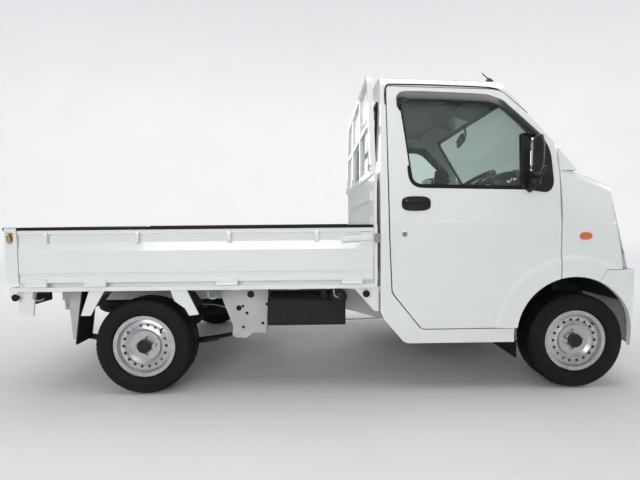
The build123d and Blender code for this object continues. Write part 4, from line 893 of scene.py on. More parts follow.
# %% Window seals and wind deflectors
WINDOW = from_axle((-959.5, 1606), (-407.5, 1592), (-174.5, 1352), (-202.5, 1095), (-905.5, 1112))
window_line = rounded(WINDOW, mm(30, 50, 50, 30, 60), 6)
seal = sweep(on_cab_side(window_line, -0.004), soft([(-10, -6), (12, -6), (12, 4), (-10, 10)], 3, 2),
             closed=True, up=(0, 1, 0))
DEFLECTOR_TOP = from_axle(
    (-969, 1545), (-969, 1572), (-968, 1605), (-946, 1629), (-908, 1635), (-788, 1633), (-514, 1619),
    (-448, 1608), (-387, 1578), (-320, 1516), (-236, 1429), (-179, 1369))
DEFLECTOR_WIDTH = mm(6, 26, 52, 62, 66, 66, 64, 62, 58, 54, 44, 10)


def deflector_shape():
    """A strip along the top line: across it, distance = width * t, standing off by a sine bulge."""
    line = smooth_path(DEFLECTOR_TOP, 5)
    width = smooth_path(DEFLECTOR_WIDTH[:, None], 5)
    step = np.gradient(line, axis=0)
    step /= np.linalg.norm(step, axis=1, keepdims=True)
    inward = np.stack([step[:, 1], -step[:, 0]], axis=-1)
    t = np.linspace(0, 1, 7)
    flat = line[:, None] + inward[:, None] * width[:, None] * t[None, :, None]
    return grid_shape(on_cab_side(flat, 0.003 + 0.020 * np.sin(t * pi / 2) * np.clip(width / 0.05, 0, 1)))


each_side("window_seal", seal, rubber, "door")
deflector = each_side("wind_deflector", deflector_shape(), visor_black, "door", solid=0.003)["right"]
print("seal of", len(seal[1]), "faces, deflector of", len(deflector.data.polygons))

# %% [markdown]
# ## Door furniture
# Each door carries a black pull handle in an oval surround, a key cylinder, a black corner patch
# between the glass and the mirror, and a tall mirror. The handle's surround is a rim with a flat
# floor inside it, so it reads as a recess, with a flap over the upper half.

# %% Handle, key and corner patch
HANDLE_MID = from_axle((-884, 1017))[0]


def oval(middle, half_width, half_height, power=3.2, steps=48):
    """A squared oval in millimetres: x = a * |cos|^(2/p), z = b * |sin|^(2/p), signs kept."""
    angle = np.arange(steps) * tau / steps
    ways = np.stack([np.cos(angle), np.sin(angle)], -1)
    return middle + np.sign(ways) * abs(ways) ** (2 / power) * mm(half_width, half_height)


surround = domed(oval(HANDLE_MID, 77, 39), [(1, -4), (1, 2), (0.97, 5), (0.91, 5), (0.87, 1), (0.3, 0.5)])
flap = domed(HANDLE_MID + rect(-66, 2, 66, 30, 12, 5), [(1, 0), (1, 8), (0.93, 12), (0.6, 14), (0.1, 14.5)])
KEY_MID = from_axle((-947, 857))[0]
key_place = on_cab_side(KEY_MID)
key_ring = lathe([(-2, 15.2), (2, 15.2), (3.5, 13.5), (3.5, 11.5), (1.5, 10.5), (1.5, 1), (-2, 1)],
                 key_place, (0, -1, 0), 32)
PATCH = from_axle((-300, 1400), (-186, 1372), (-150, 1300), (-144, 1110), (-176, 1068), (-318, 1092))
patch = domed(rounded(PATCH, mm(20, 30, 50, 30, 30, 12), 4),
              [(1, -20), (1, 3), (0.97, 6), (0.5, 7), (0.02, 7)])
each_side("handle_surround", surround, black_plastic, "door")
each_side("handle_flap", flap, black_plastic, "door")
each_side("key_cylinder", key_ring, chrome, "door")
each_side("key_slot", block(key_place + mm(-1.5, -3.2, -8), key_place + mm(1.5, 0, 8)), black_plastic,
          "door", bevel=0.0004)
each_side("corner_patch", patch, black_plastic, "door")
print("handle at", HANDLE_MID)

# %% [markdown]
# A door mirror is a moulded head on a short arm, with the glass set in its rear face. It could be
# cut from a block. Lofting its outline across, smaller near either end, gives the rounded ends.

# %% Door mirrors
MIRROR_OUTLINE = from_axle((-292, 1336), (-242, 1350), (-228, 1300), (-231, 1190), (-252, 1142),
                           (-292, 1150))
MIRROR_SWEEP, MIRROR_INNER, MIRROR_OUTER = 0.62, -0.752, -0.872
PANE_MID = np.array((-0.812, MIRROR_OUTLINE.mean(axis=0)[1] + 0.002))


def swept_back(y):
    """How far ahead of its inner end the mirror lies at a place across."""
    return MIRROR_SWEEP * (y - MIRROR_INNER)


def mirror_head():
    """The mirror's outline lofted outwards and back: each section is smaller near either end."""
    line = rounded(MIRROR_OUTLINE, mm(24, 16, 30, 40, 26, 20), 6)
    middle = line.mean(axis=0)
    t = np.array([-1.0, -0.97, -0.88, -0.6, -0.2, 0.3, 0.7, 0.9, 0.98, 1.0])
    share = np.array([0.55, 0.80, 0.92, 0.98, 1.0, 1.0, 0.96, 0.88, 0.74, 0.5])
    across = ((MIRROR_INNER + MIRROR_OUTER) / 2 - t * (MIRROR_INNER - MIRROR_OUTER) / 2)[:, None]
    flat = middle + (line - middle) * share[:, None, None]
    y = np.broadcast_to(across, flat.shape[:2])
    return grid_shape(np.stack([flat[..., 0] + swept_back(across), y, flat[..., 1]], -1),
                      wrap_columns=True, caps=True)


def on_mirror(line, back):
    """An outline (y, z) laid on the leaning face of the mirror."""
    return upright(line, MIRROR_OUTLINE[0, 0] - 0.004 + back) + swept_back(line[:, :1]) * (1, 0, 0)


mirror_x, mirror_z = from_axle((-282, 1072))[0]
mirror_foot = np.array((mirror_x, 0, mirror_z))
arm = sweep(mirror_foot + bent(6, (0, -712, 20), (4, -748, 45), (12, -775, 90), (14, -795, 130)),
            ring(26, 17, 20), up=(1, 0, 0))
pivot = lathe([(0, 1), (0, 26), (12, 30), (34, 26), (36, 1)], mirror_foot + mm(6, -752, 32), (0, 0, 1), 28)
mirror_pane = domed(oval(PANE_MID, 50, 78, 4.0, 40),
                    [(1.08, 6), (1.08, -2), (1.02, -4), (0.99, 0), (0.5, 1), (0.02, 1)], on_mirror)
heads = each_side("mirror_head", join([mirror_head(), arm, pivot]), black_plastic, "door")
for side, head in heads.items():
    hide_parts(f"door_mirror_{side}")
each_side("mirror_pane", mirror_pane, mirror_glass, "door")
print("mirror from", MIRROR_INNER, "to", MIRROR_OUTER)

# %% [markdown]
# ## Fender and roof trim
# The fender carries an amber side marker, a small domed pill. The roof has a stub antenna near
# its right front corner.

# %% Side markers and antenna
MARKER_MID = from_axle((18, 838))[0]
marker_line = oval(MARKER_MID, 33, 20.5, 2.6, 40)
marker = domed(marker_line, [(1, -4), (1, 3), (0.92, 8), (0.7, 11), (0.35, 12.5), (0.02, 13)])
pair("side_markers", marker, lens_amber)
pair("side_marker_rims", domed(marker_line, [(1.16, -4), (1.16, 1.5), (1.08, 3), (1, 2)], caps=False), paint)
ANTENNA = np.array((FX - 0.395, -0.50, 1.735))
antenna_foot = lathe([(-20, 1), (-20, 24), (2, 22), (14, 12), (20, 5.5), (20, 1)], ANTENNA, (0, 0, 1), 28)
antenna_rod = lathe([(0, 1), (0, 3.5), (55, 2.5), (57, 1)], ANTENNA + mm(0, 0, 12), (-0.75, 0, 0.66), 10)
piece("antenna", join([antenna_foot, antenna_rod]), black_plastic)
print("marker at", MARKER_MID, "antenna at", ANTENNA)

# %% [markdown]
# ## Load bed
# The gates get what pressed panels carry: a black rubber strip over the top edge, rope hooks in
# the recess, bolts through the hinge leaves, and a swing latch at each corner. The deck is one
# pressed sheet with shallow ribs along it, so cargo slides and water drains.

# %% Rubber strips on the gates
gate_x0, gate_x1 = gate_low[0], gate_high[0]
GATE_OUT, STRIP_HALF = 0.728, 0.014
STRIP = rect(-16.5, -14, 16.5, 2.5, 4)
strip_y = -(GATE_OUT - STRIP_HALF)
tail_x = TAIL_X + 0.0035 + STRIP_HALF
side_strip = sweep([(gate_x0, strip_y, GATE_TOP), (gate_x1, strip_y, GATE_TOP)], STRIP)
tail_strip = sweep([(tail_x, -GATE_OUT + 0.002, GATE_TOP), (tail_x, GATE_OUT - 0.002, GATE_TOP)], STRIP)
each_side("gate_strip", side_strip, rubber, "gate")
piece("gate_strip_tail", tail_strip, rubber, "tail_gate")
print("strips along", gate_x1 - gate_x0, "m")

# %% [markdown]
# Hooks and latches are bent from strap or bar, so each is a section swept along its bend. Bolts
# are a six-sided head turned over a round washer. One of each is made and then spread along the
# gate, at places measured from its ends and from the rear axle.

# %% Rope hooks, hinge bolts and latches
HOOK_X = RX + np.array([-0.475, -0.001, 0.478, 0.939])
STRAP = bar(10, 1.8, 1)


def bolt(place, axis, radius=7, height=5):
    """A hexagonal head on a round washer; its radius and height are in millimetres."""
    wide = radius * 1.45
    head = [(0, 1), (0, radius), (height * 0.8, radius), (height, radius * 0.85), (height, 1)]
    return join([lathe([(-1, 1), (-1, wide), (1.2, wide), (1.2, 1)], place, axis, 20),
                 lathe(head, place, axis, 6)])


# A rope hook is a strap bent over a rod: down from the top rail, out, and back in below.
hook = sweep(bent(4, (0, -727, 884), (0, -733, 878), (0, -735, 860), (0, -734, 836), (0, -730, 826),
                  (0, -722, 824)), STRAP, up=(0, -1, 0.2))
hinge_xs = np.array([gate_x0 + 0.086, gate_x0 + 0.395, (gate_x0 + gate_x1) / 2 + 0.155, gate_x1 - 0.108])
leaf = slab(soft([(-24, 606), (24, 606), (21, 640), (-21, 640)], 6), -0.7305, -0.722)
pivot_x = gate_x1 - 0.052
latch_bar = sweep(bent(5, (-115, -744, 829), (-90, -746, 835), (-30, -742, 838), (30, -738, 838),
                       (46, -736, 836)), bar(6, 13, 4, 3))
latch_pin = lathe([(-12, 1), (-12, 12), (4, 12), (7, 9), (7, 1)], mm(12, -742, 838), (0, -1, 0), 20)
each_side("rope_hooks", spread(hook, HOOK_X), paint, "gate")
gate_bolts = spread(bolt(mm(0, -727.5, 628), (0, -1, 0), 5.5), [*(hinge_xs - 0.030), *(hinge_xs + 0.030)])
each_side("hinge_bolts", gate_bolts, steel, "gate")
each_side("hinge_leaves", spread(leaf, [*(hinge_xs - 0.028), *(hinge_xs + 0.028)]), paint, "gate",
          bevel=0.0012)
each_side("latch_lever", spread(join([latch_bar, latch_pin]), [pivot_x]), paint, "gate")
each_side("latch_base", spread(slab(rect(-18, 806, 46, 868, 8), -0.7325, -0.7170), [pivot_x]), paint,
          "gate", bevel=0.0015)
keeper = slab(rect(0, 812, 30, 862, 6), -0.7335, -0.7240)
keeper_loop = tube(bent(5, (6, -728, 824), (2, -742, 828), (2, -742, 848), (6, -728, 852)), 3.5, 8)
pair("latch_keepers", spread(join([keeper, keeper_loop]), [gate_x1 + 0.006]), steel, bevel=0.001)
print(len(HOOK_X), "hooks a side, latch pivot at", pivot_x)

# %% [markdown]
# At the rear corners the tail gate wraps round the sides. Its latch is a zinc-plated lever on a
# plate, which catches a peg on the side gate; it rides on the tail gate with the plate.

# %% Tail gate latches and rope hooks
corner_mid = (TAIL_X + 0.006 + gate_x0 - 0.006) / 2
zinc_plate = slab(rect(-17, 838, 17, 884, 5), -0.7312, -0.7270)
zinc_lever = sweep(bent(5, (-6, -733, 876), (-2, -739, 868), (4, -741, 850), (4, -738, 828)), bar(8, 2, 1),
                   up=(0, -1, 0))
zinc_bolt = bolt(mm(-3, -731, 862), (0, -1, 0))
pair("tail_latches", spread(join([zinc_plate, zinc_lever, zinc_bolt]), [corner_mid]), zinc,
     body="tail_gate")
rear_hook = sweep(bent(4, (3, 0, 884), (-3, 0, 876), (-4, 0, 850), (0, 0, 832), (5, 0, 830)), STRAP,
                  up=(-1, 0, 0.2))
piece("rope_hooks_tail", spread(rear_hook, [TAIL_X], (-0.42, 0.0, 0.42)), paint, "tail_gate")
print("corner latch at", corner_mid)

# %% [markdown]
# The deck's ribs are pressed into the sheet and only about five millimetres high. Bump would lose
# their edges at a low angle, so they are one thin sheet whose height steps up and down across.

# %% Deck ribs
RIB_PITCH, RIB_HEIGHT, DECK_HALF = 0.082, 0.0045, 0.672
rib_count = int(2 * DECK_HALF / RIB_PITCH)
rib_edges = np.array([0.0, 0.18, 0.26, 0.74, 0.82])
rib_y = ((np.arange(rib_count)[:, None] + rib_edges) * RIB_PITCH).reshape(-1) - DECK_HALF
rib_y = rib_y[rib_y <= DECK_HALF]
share = (rib_y + DECK_HALF) / RIB_PITCH % 1
rib_grid = np.zeros((2, len(rib_y), 3))
rib_grid[0, :, 0], rib_grid[1, :, 0] = bed_low[0] + 0.060, gate_x1 - 0.012
rib_grid[..., 1], rib_grid[..., 2] = rib_y, DECK_Z + 0.0005 + RIB_HEIGHT * ((share > 0.25) & (share < 0.75))
bed_paint = worn_finish("bed_paint", "body_paint", (0.78, 0.785, 0.78), (0.62, 0.62, 0.61), (0.3, 0.6),
                        5.0, 0.0004, 380.0)
piece("deck_ribs", grid_shape(rib_grid), bed_paint, solid=0.001)
print(rib_count, "ribs on the deck")

# %% [markdown]
# ## Windscreen and cowl
# The windscreen is a piece of a very large cylinder that leans with the pillars. With the
# cylinder's radius R and the height above the axis h = sqrt((R - depth)^2 - y^2), any place on the
# glass follows from its y and z. The rubber, the black printed edge and the wipers all lie on it.

# %% Windscreen rubber and printed edge
GLASS_TOP = np.array([FX - 0.3225, 1.602])
GLASS_FOOT = np.array([FX - 0.0075, 1.200])
GLASS_BULGE, GLASS_SIDE = 0.055, 0.640
glass_radius = (GLASS_SIDE**2 + GLASS_BULGE**2) / (2 * GLASS_BULGE)
glass_slope = (GLASS_FOOT - GLASS_TOP) / np.linalg.norm(GLASS_FOOT - GLASS_TOP)
glass_out = np.array([-glass_slope[1], glass_slope[0]])
glass_axis = (GLASS_TOP + GLASS_FOOT) / 2 + glass_out * (GLASS_BULGE - glass_radius)
out_3d = (glass_out[0], 0, glass_out[1])


def on_glass(yz, depth=0.0):
    """Points on the windscreen from their y and z, set in from its outer face by a depth."""
    y, z = np.asarray(yz, float).T
    height = np.sqrt((glass_radius - depth) ** 2 - y**2)
    x = glass_axis[0] + (height - (z - glass_axis[1]) * glass_out[1]) / glass_out[0]
    return np.stack([x, y, z], axis=-1)


def screen_line(set_in):
    """The windscreen's rounded outline, set in by millimetres from the opening on every side."""
    a, b = 640 - set_in, 540 - set_in
    low, high = 1228 + set_in * 0.8, 1626 - set_in * 0.8
    return soft([(-a, low), (a, low), (b, high), (-b, high)], [40, 40, 50, 50], 8)


screen_rubber = sweep(on_glass(screen_line(2), 0.002), soft([(-9, -8), (10, -8), (10, 3), (-9, 6)], 3, 2),
                      closed=True, up=out_3d)
edge_grid = [on_glass(screen_line(set_in), 0.0145) for set_in in (4, 12, 20, 28)]
piece("windscreen_rubber", screen_rubber, rubber)
piece("windscreen_edge", grid_shape(edge_grid, wrap_columns=True), black_plastic)
print("glass radius", glass_radius)

# %% [markdown]
# Trim that follows a curved panel can be dropped onto it: a flat grid is held above the panel,
# and Shrinkwrap carries each point along one axis until it meets the surface.


# %% Laying a shape on a panel
def read_points(mesh):
    """All the points of a mesh as one array."""
    points = np.zeros(len(mesh.vertices) * 3)
    mesh.vertices.foreach_get("co", points)
    return points.reshape(-1, 3)


def laid_on(shape, panels, axis="x", stand=0.0):
    """A shape carried backwards along an axis onto CAD panels, then standing off by a distance."""
    item = new_object("carried", shape)
    wrap = item.modifiers.new("wrap", "SHRINKWRAP")
    wrap.wrap_method = "PROJECT"
    wrap.target, wrap.auxiliary_target = nodes[panels[0]], nodes[panels[-1]]
    wrap.use_project_x, wrap.use_project_y, wrap.use_project_z = (axis == k for k in "xyz")
    wrap.use_positive_direction, wrap.use_negative_direction = False, True
    points = read_points(item.evaluated_get(bpy.context.evaluated_depsgraph_get()).to_mesh())
    mesh = item.data
    bpy.data.objects.remove(item)
    bpy.data.meshes.remove(mesh)
    points[:, "xyz".index(axis)] += stand
    return points, shape[1]


AHEAD = 2.2


def face_x(places, panel):
    """Where a panel's face lies in X behind places (y, z) on it."""
    return laid_on((upright(np.array(places), AHEAD), []), [panel])[0][:, 0]


# %% [markdown]
# Between glass and nose lies a louvred cowl, and two wipers rest above it. The cowl is a grid laid
# on the panels below, with ridges as a square wave. A wiper is a turned cap and three sweeps that
# follow the glass, so the blade bends with it.

# %% Cowl and wipers
cowl_y, cowl_t = np.linspace(-0.560, 0.560, 113), np.linspace(0, 1, 19)
rear_edge = on_glass(np.stack([cowl_y, np.full(len(cowl_y), 1.2215)], -1))[:, 0] + 0.001
front_edge = FX + 0.0655 - 0.046 * (cowl_y / 0.6) ** 2
cowl_x = rear_edge + (front_edge - rear_edge) * cowl_t[:, None]
cowl_grid = np.stack([cowl_x, np.broadcast_to(cowl_y, cowl_x.shape), np.full(cowl_x.shape, 1.4)], -1)
cowl_points, cowl_faces = laid_on(grid_shape(cowl_grid), ("front_panel", "cab_shell"), "z", 0.003)
ridges = (0.0022 * (np.sin(cowl_t * 3 * tau) > 0))[:, None] * (np.abs(np.sin(cowl_y * 26)) > 0.15)
cowl_points[:, 2] += ridges.ravel()
piece("cowl_grille", (cowl_points, cowl_faces), black_plastic, solid=0.003)
WIPER_Z = 1.243


def wiper(pivot_y, reach, lean=0.040):
    """A wiper at rest: a spindle cap, an arm that tapers, and a blade lying along the glass."""
    foot, tip = on_glass([(pivot_y, WIPER_Z), (pivot_y + reach, WIPER_Z + lean)], -0.018)
    middle = (foot + tip) / 2 + np.array(out_3d) * 0.010
    arm = sweep(smooth_path([foot, middle, tip], 6), rect(-7, -3, 7, 4, 3, 2), up=out_3d)
    cap = lathe([(-12, 1), (-12, 16), (6, 14), (10, 1)], foot, out_3d, 20)
    blade_y = np.linspace(pivot_y + reach * 0.35, pivot_y + reach * 1.62, 9)
    blade = np.stack([blade_y, WIPER_Z + lean * 0.9 + 0.008 * (blade_y - blade_y[0])], -1)
    holder = sweep(on_glass(blade, -0.012), soft([(-5, -3), (5, -3), (3, 5), (-3, 5)], 2, 2), up=out_3d)
    lip = sweep(on_glass(blade, -0.004), mm((-1, -5), (1, -5), (3, 4), (-3, 4)), up=out_3d)
    return join([arm, cap, holder, lip])


piece("wipers", join([wiper(-0.22, 0.28), wiper(0.42, -0.30)]), black_plastic)
print("cowl and two wipers")

# %% [markdown]
# ## Headlamps, grille and bumper
# Each headlamp is a clear solid in the nose. Inside stands a plate that follows the lens, with a
# round reflector and its bulb, and a smaller one for the turn signal. A reflector is a paraboloid:
# its depth grows with the square of the radius, so light from the bulb leaves it straight ahead.

# %% Headlamp inners
lamp_low, lamp_high = corners("headlamp_right")
low, high = lamp_low[2] + 0.010, lamp_high[2] - 0.008
plate_line = rounded([(-0.712, low), (-0.437, low), (-0.437, high), (-0.700, high)], 0.02, 4)
plate = domed(plate_line, [(share, 0) for share in (1, 0.85, 0.65, 0.4, 0.15, 0.01)],
              lambda line, stand: upright(line, AHEAD), caps=False)
LAMP_AT, SIGNAL_AT = (-0.548, 0.812), (-0.655, 0.735)


def reflector(at, radius, rim_x, depth):
    """A round bowl facing ahead: x = rim - depth * (1 - (r / R)^2), with a rolled rim. Its radius
    and depth are in millimetres."""
    bowl = [(-depth * (1 - (k / radius) ** 2), k) for k in np.linspace(radius, 12, 10)]
    outer = [(-depth - 4, radius + 7), (-2, radius + 6), (1, radius + 3)]
    return lathe(outer + bowl + [(bowl[-1][0], 1)], (rim_x, *at), (1, 0, 0), 56, closed=False)


front_x = face_x([LAMP_AT, SIGNAL_AT], "headlamp_right")
bowls = [reflector(LAMP_AT, 80, front_x[0] - 0.014, 30), reflector(SIGNAL_AT, 36, front_x[1] - 0.018, 16)]
bulb = lathe([(0, 1), (0, 11), (12, 11), (20, 8), (26, 1)], (front_x[0] - 0.040, *LAMP_AT), (1, 0, 0), 20)
amber_bulb = lathe([(0, 1), (0, 10), (10, 11), (18, 6), (20, 1)], (front_x[1] - 0.032, *SIGNAL_AT),
                   (1, 0, 0), 20)
bezel_grey = worn_finish("lamp_bezel", "steel", (0.50, 0.51, 0.53), (0.42, 0.43, 0.45), (0.16, 0.26),
                         20.0, metal=0.9)
pair("headlamp_plates", laid_on(plate, ["headlamp_right"], stand=-0.047), bezel_grey)
pair("headlamp_reflectors", join(bowls), chrome)
pair("headlamp_bulbs", bulb, lens_white)
pair("signal_bulbs", amber_bulb, lens_amber)
print("lamp face at", front_x)

# %% [markdown]
# The nose carries a slatted black panel between the headlamps, and the bumper one over its intake.
# Both are grids laid on the panel behind: the slats are a saw wave, (k * z) mod 1, so each one
# leans and shades the next.


# %% Slatted panels
def slatted(low, high, foot, head, slats, panel):
    """A black panel with level slats that follows the painted panel behind it."""
    u, v = np.linspace(-1, 1, 81), np.linspace(0, 1, slats * 10 + 1)
    z = np.broadcast_to((low + (high - low) * v)[:, None], (len(v), len(u)))
    half = (foot + (head - foot) * v)[:, None] * np.clip(v * (1 - v) / 0.012, 0, 1)[:, None] ** 0.04
    start = np.stack([np.full(z.shape, AHEAD), half * u, z], -1)
    points, faces = laid_on(grid_shape(start), [panel])
    edge = np.minimum((1 - np.abs(u))[None] / 0.03, np.minimum(v, 1 - v)[:, None] / 0.08)
    saw = 0.009 * (1 - np.mod(v * slats, 1))[:, None] * (edge > 1)
    stand = np.where(edge > 1, 0.001, 0.010 * np.clip(edge / 0.3, 0, 1)) + saw
    points[:, 0] += stand.ravel()
    return points, faces


piece("nose_grille", slatted(0.744, 0.838, 0.372, 0.394, 4, "front_panel"), black_plastic, solid=0.002)
piece("bumper_grille", slatted(0.288, 0.404, 0.310, 0.340, 5, "bumper"), black_plastic, solid=0.002)
print("slatted panels")

# %% [markdown]
# A fog lamp sits low in the bumper: a rim, a clear domed lens and a bright dish behind it. All
# three are turned about the same axis, so they stay in line whatever the rim's size.

# %% Fog lamps
FOG_AT = (-0.520, 0.372)
fog_place = (face_x([FOG_AT], "bumper")[0] - 0.008, *FOG_AT)
fog_rim, fog_lens, fog_back = (
    lathe(profile, fog_place, (1, 0, 0), steps, closed=False) for profile, steps in (
        ([(0, 45.5), (14, 45.5), (16, 43), (12, 37), (6, 36)], 44),
        ([(6, 36.5), (11, 34), (15, 24), (17, 12), (17.5, 1)], 44),
        ([(3, 36.5), (0, 20), (-0.5, 1)], 40)))
pair("fog_lamp_rims", fog_rim, black_plastic)
pair("fog_lamp_backs", fog_back, chrome)
pair("fog_lamp_lenses", fog_lens, lens_clear, solid=0.002)


print("fog lamps at", FOG_AT)

# %% [markdown]
# A number plate is thin pressed metal with a raised line round it. These two stay blank. Nested
# rounded outlines, each at its own depth, give field, line and rolled edge as one closed sheet.
# Bolts, pads, a bracket and two lamps hold and light the plates.


# %% Number plates
def number_plate(x, z, out):
    """A blank pressed plate: flat field, a raised line round it and rolled edges. Each row says
    its half width, its half height and how far it stands, in millimetres."""
    rows = [(165, 82.5, 0), (165, 82.5, 1.6), (164, 81.5, 2.2), (160, 77.5, 2.2), (159, 76.5, 3.2),
            (157, 74.5, 3.2), (156, 73.5, 2), (80, 40, 2), (1, 1, 2)]
    grid = [upright(bar(y, half, min(8, half), 5), out * stand / 1000) for y, half, stand in rows]
    return moved(grid_shape(grid, wrap_columns=True, caps=True), (x, 0, z))


plate_white = worn_finish("plate_white", "body_paint", (0.74, 0.75, 0.74), (0.68, 0.69, 0.69), (0.3, 0.45),
                          14.0, 0.0001, 600.0, coat=0.2)
PLATE_Z, REAR_PLATE_Z, BOLT_Y = 0.520, 0.487, (-0.105, 0.105)
front_plate_x = corners("bumper")[1][0] + 0.006
rear_plate_x = TAIL_X + 0.020
piece("front_plate", number_plate(front_plate_x, PLATE_Z, 1), plate_white)
piece("rear_plate", number_plate(rear_plate_x, REAR_PLATE_Z, -1), plate_white)
front_bolt = bolt((front_plate_x + 0.002, 0, PLATE_Z + 0.060), (1, 0, 0), 6)
rear_bolt = bolt((rear_plate_x - 0.002, 0, REAR_PLATE_Z + 0.060), (-1, 0, 0), 6)
plate_pads = join([block(mm(-20, -20, 45), mm(1, 20, 72)), block(mm(-22, -20, -70), mm(1, 20, -45))])
piece("plate_bolts", spread(join([front_bolt, rear_bolt]), ys=BOLT_Y), steel)
piece("plate_pads", spread(plate_pads, [front_plate_x], BOLT_Y, [PLATE_Z]), black_plastic, bevel=0.002)
piece("rear_plate_bracket", spread(slab(rect(-172, 400, 172, 572, 10), 0.0015, 0.004, "yz"), [rear_plate_x]),
      under_paint)
piece("plate_lamps", spread(block(mm(-6, -30, 574), mm(14, 30, 590)), [rear_plate_x], (-0.10, 0.10)),
      black_plastic, bevel=0.004)
print("plates at", front_plate_x, rear_plate_x)

# %% [markdown]
# ## Seats
# A seat cover is cloth over foam. Each cushion starts as a closed pillow and is remeshed into an
# even net; a short cloth simulation with a little pressure then makes the cover crown between its
# edges. Seams are pressed in last: a groove is a dip exp(-(d / w)^2) by the distance d to a line.

# %% Seat cloth and pillow
seat_cloth = worn_finish("seat_cloth", "seat_vinyl", (0.105, 0.108, 0.115), (0.070, 0.072, 0.078),
                         (0.85, 0.95), 9.0, 0.0006, 900.0)
NET_SIZE, CLOTH_STEPS, PRESSURE = 0.0075, 12, 4.0
MOST_SWELL, CROWN, SEAM_DEPTH, SEAM_WIDTH, SETTLE = 0.010, 0.010, 0.008, 0.007, 0.006


def pillow(size, corner, edge):
    """A closed pillow about the origin, as rings from its lower pole to its upper one."""
    half = np.asarray(size) / 2
    plan = rounded(half[:2] * [(-1, -1), (1, -1), (1, 1), (-1, 1)], corner, 8)
    angle = np.linspace(-np.pi / 2, np.pi / 2, 9)
    share = 1 - edge * (1 - np.cos(angle)) / half[:2].min()
    height = np.sign(angle) * (half[2] - edge) + edge * np.sin(angle)
    inner = np.array([0.8, 0.6, 0.4, 0.2, 0.004]) * share[0]
    share = np.concatenate([inner[::-1], share, inner])
    height = np.concatenate([np.full(5, -half[2]), height, np.full(5, half[2])])
    rows = plan[None] * share[:, None, None]
    rows = np.concatenate([rows, np.broadcast_to(height[:, None, None], (len(share), len(plan), 1))], -1)
    return grid_shape(rows, wrap_columns=True, caps=True)


print("a pillow starts with", len(pillow((0.44, 0.47, 0.1), 0.05, 0.028)[1]), "faces")

# %% [markdown]
# A bevelled box looks like a box. A real cover is stretched by its foam, so a dozen steps of cloth
# with air pressed in give it that swell, and the result is kept as the piece's own mesh.


# %% Blowing up a cover
def baked(item):
    """Give a piece the mesh that its modifiers make, and take the modifiers off."""
    mesh = bpy.data.meshes.new_from_object(item.evaluated_get(bpy.context.evaluated_depsgraph_get()))
    item.modifiers.clear()
    item.data = mesh
    return read_points(mesh)


def blown_up(item):
    """The piece's points after a few steps as cloth with air pressed into it."""
    cover = item.modifiers.new("cover", "CLOTH")
    cover.settings.use_pressure = True
    cover.settings.uniform_pressure_force = PRESSURE
    cover.settings.effector_weights.gravity = 0
    cover.point_cache.frame_start, cover.point_cache.frame_end = 1, CLOTH_STEPS
    for step in range(1, CLOTH_STEPS + 1):
        scene.frame_set(step)
    points = baked(item)
    scene.frame_set(1)
    return points


# %% [markdown]
# Seams pull the cover down to the foam. They could be bump, but they show in the outline of the
# cushion, so the net itself dips along each line. The left seat is the right one mirrored.


# %% Sewing a cover
def sewn(name, shape, seams, place, lean):
    """A cushion blown up as cloth, with seams on its upper face, leaned and set in place.

    seams is a list of (axis, position, from, to): lines across the upper face."""
    item = piece(name, shape, seat_cloth)
    net = item.modifiers.new("net", "REMESH")
    net.mode, net.voxel_size = "VOXEL", NET_SIZE
    rest = baked(item)
    move = blown_up(item) - rest
    reach = np.linalg.norm(move, axis=1, keepdims=True)
    points = rest + move * np.minimum(1, MOST_SWELL / np.maximum(reach, 1e-9))
    low, high = rest.min(axis=0), rest.max(axis=0)
    span = ((points - low) / (high - low))[:, :2]
    crown = CROWN * np.clip(16 * (span * (1 - span)).prod(axis=1), 0, 1)
    upper = np.clip((points[:, 2] - high[2] * 0.3) / (high[2] * 0.5), 0, 1)
    dip = np.zeros(len(points))
    for axis, position, start, end in seams:
        across = points[:, 1 - axis]
        beyond = np.maximum(np.maximum(start - across, across - end), 0)
        away = (points[:, axis] - position) ** 2 + beyond**2
        dip = np.maximum(dip, np.exp(-away / SEAM_WIDTH**2))
    points[:, 2] += upper * (crown - SEAM_DEPTH * dip - SETTLE)
    points = turned((points, []), Matrix.Rotation(lean, 4, "Y"))[0] + np.array(place)
    item.data.vertices.foreach_set("co", points.ravel())
    item.data.update()
    item.data.materials.clear()
    item.data.materials.append(seat_cloth)
    item.data.polygons.foreach_set("use_smooth", np.ones(len(item.data.polygons), bool))
    twin = item.copy()
    twin.data = item.data.copy()
    twin.name = name.replace("right", "left")
    scene.collection.objects.link(twin)
    twin.data.vertices.foreach_set("co", (points * (1, -1, 1)).ravel())
    twin.data.flip_normals()
    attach(twin, "root")
    return item, twin


def seams_at(axis, half, *positions):
    """Seams of one length, centred, at several positions."""
    return [(axis, position, -half, half) for position in positions]


# %% [markdown]
# Each seat has a cushion, a back and a small pad above it for the head. They differ in size, in
# the spacing of their seams and in how far they lean. They take the place of the CAD's plain seats.

# %% Six cushions
rows_along = [(1, y, -0.185, 0.165) for y in (-0.142, 0.142)]
cushions = sewn("seat_cushion_right", pillow((0.440, 0.474, 0.104), 0.05, 0.028),
                seams_at(0, 0.135, -0.13, -0.06, 0.01, 0.08) + rows_along, (0.630, -0.350, 0.7035), 0.0)
back_seams = seams_at(0, 0.135, -0.15, -0.08, -0.01, 0.06, 0.13) + seams_at(1, 0.2, -0.142, 0.142)
backs = sewn("seat_back_right", pillow((0.475, 0.470, 0.080), 0.06, 0.026), back_seams,
             (0.4085, -0.350, 0.952), radians(82))
pads = sewn("seat_pad_right", pillow((0.205, 0.198, 0.046), 0.05, 0.018), seams_at(1, 0.1, -0.07, 0.07),
            (0.3735, -0.350, 1.292), radians(84))
cushion_pairs = (cushions, backs, pads)
for k, side in enumerate(SIDES):
    for seat_pair in cushion_pairs:
        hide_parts(f"seat_{side}")
print("six cushions,", sum(len(item.data.polygons) for both in cushion_pairs for item in both), "faces")

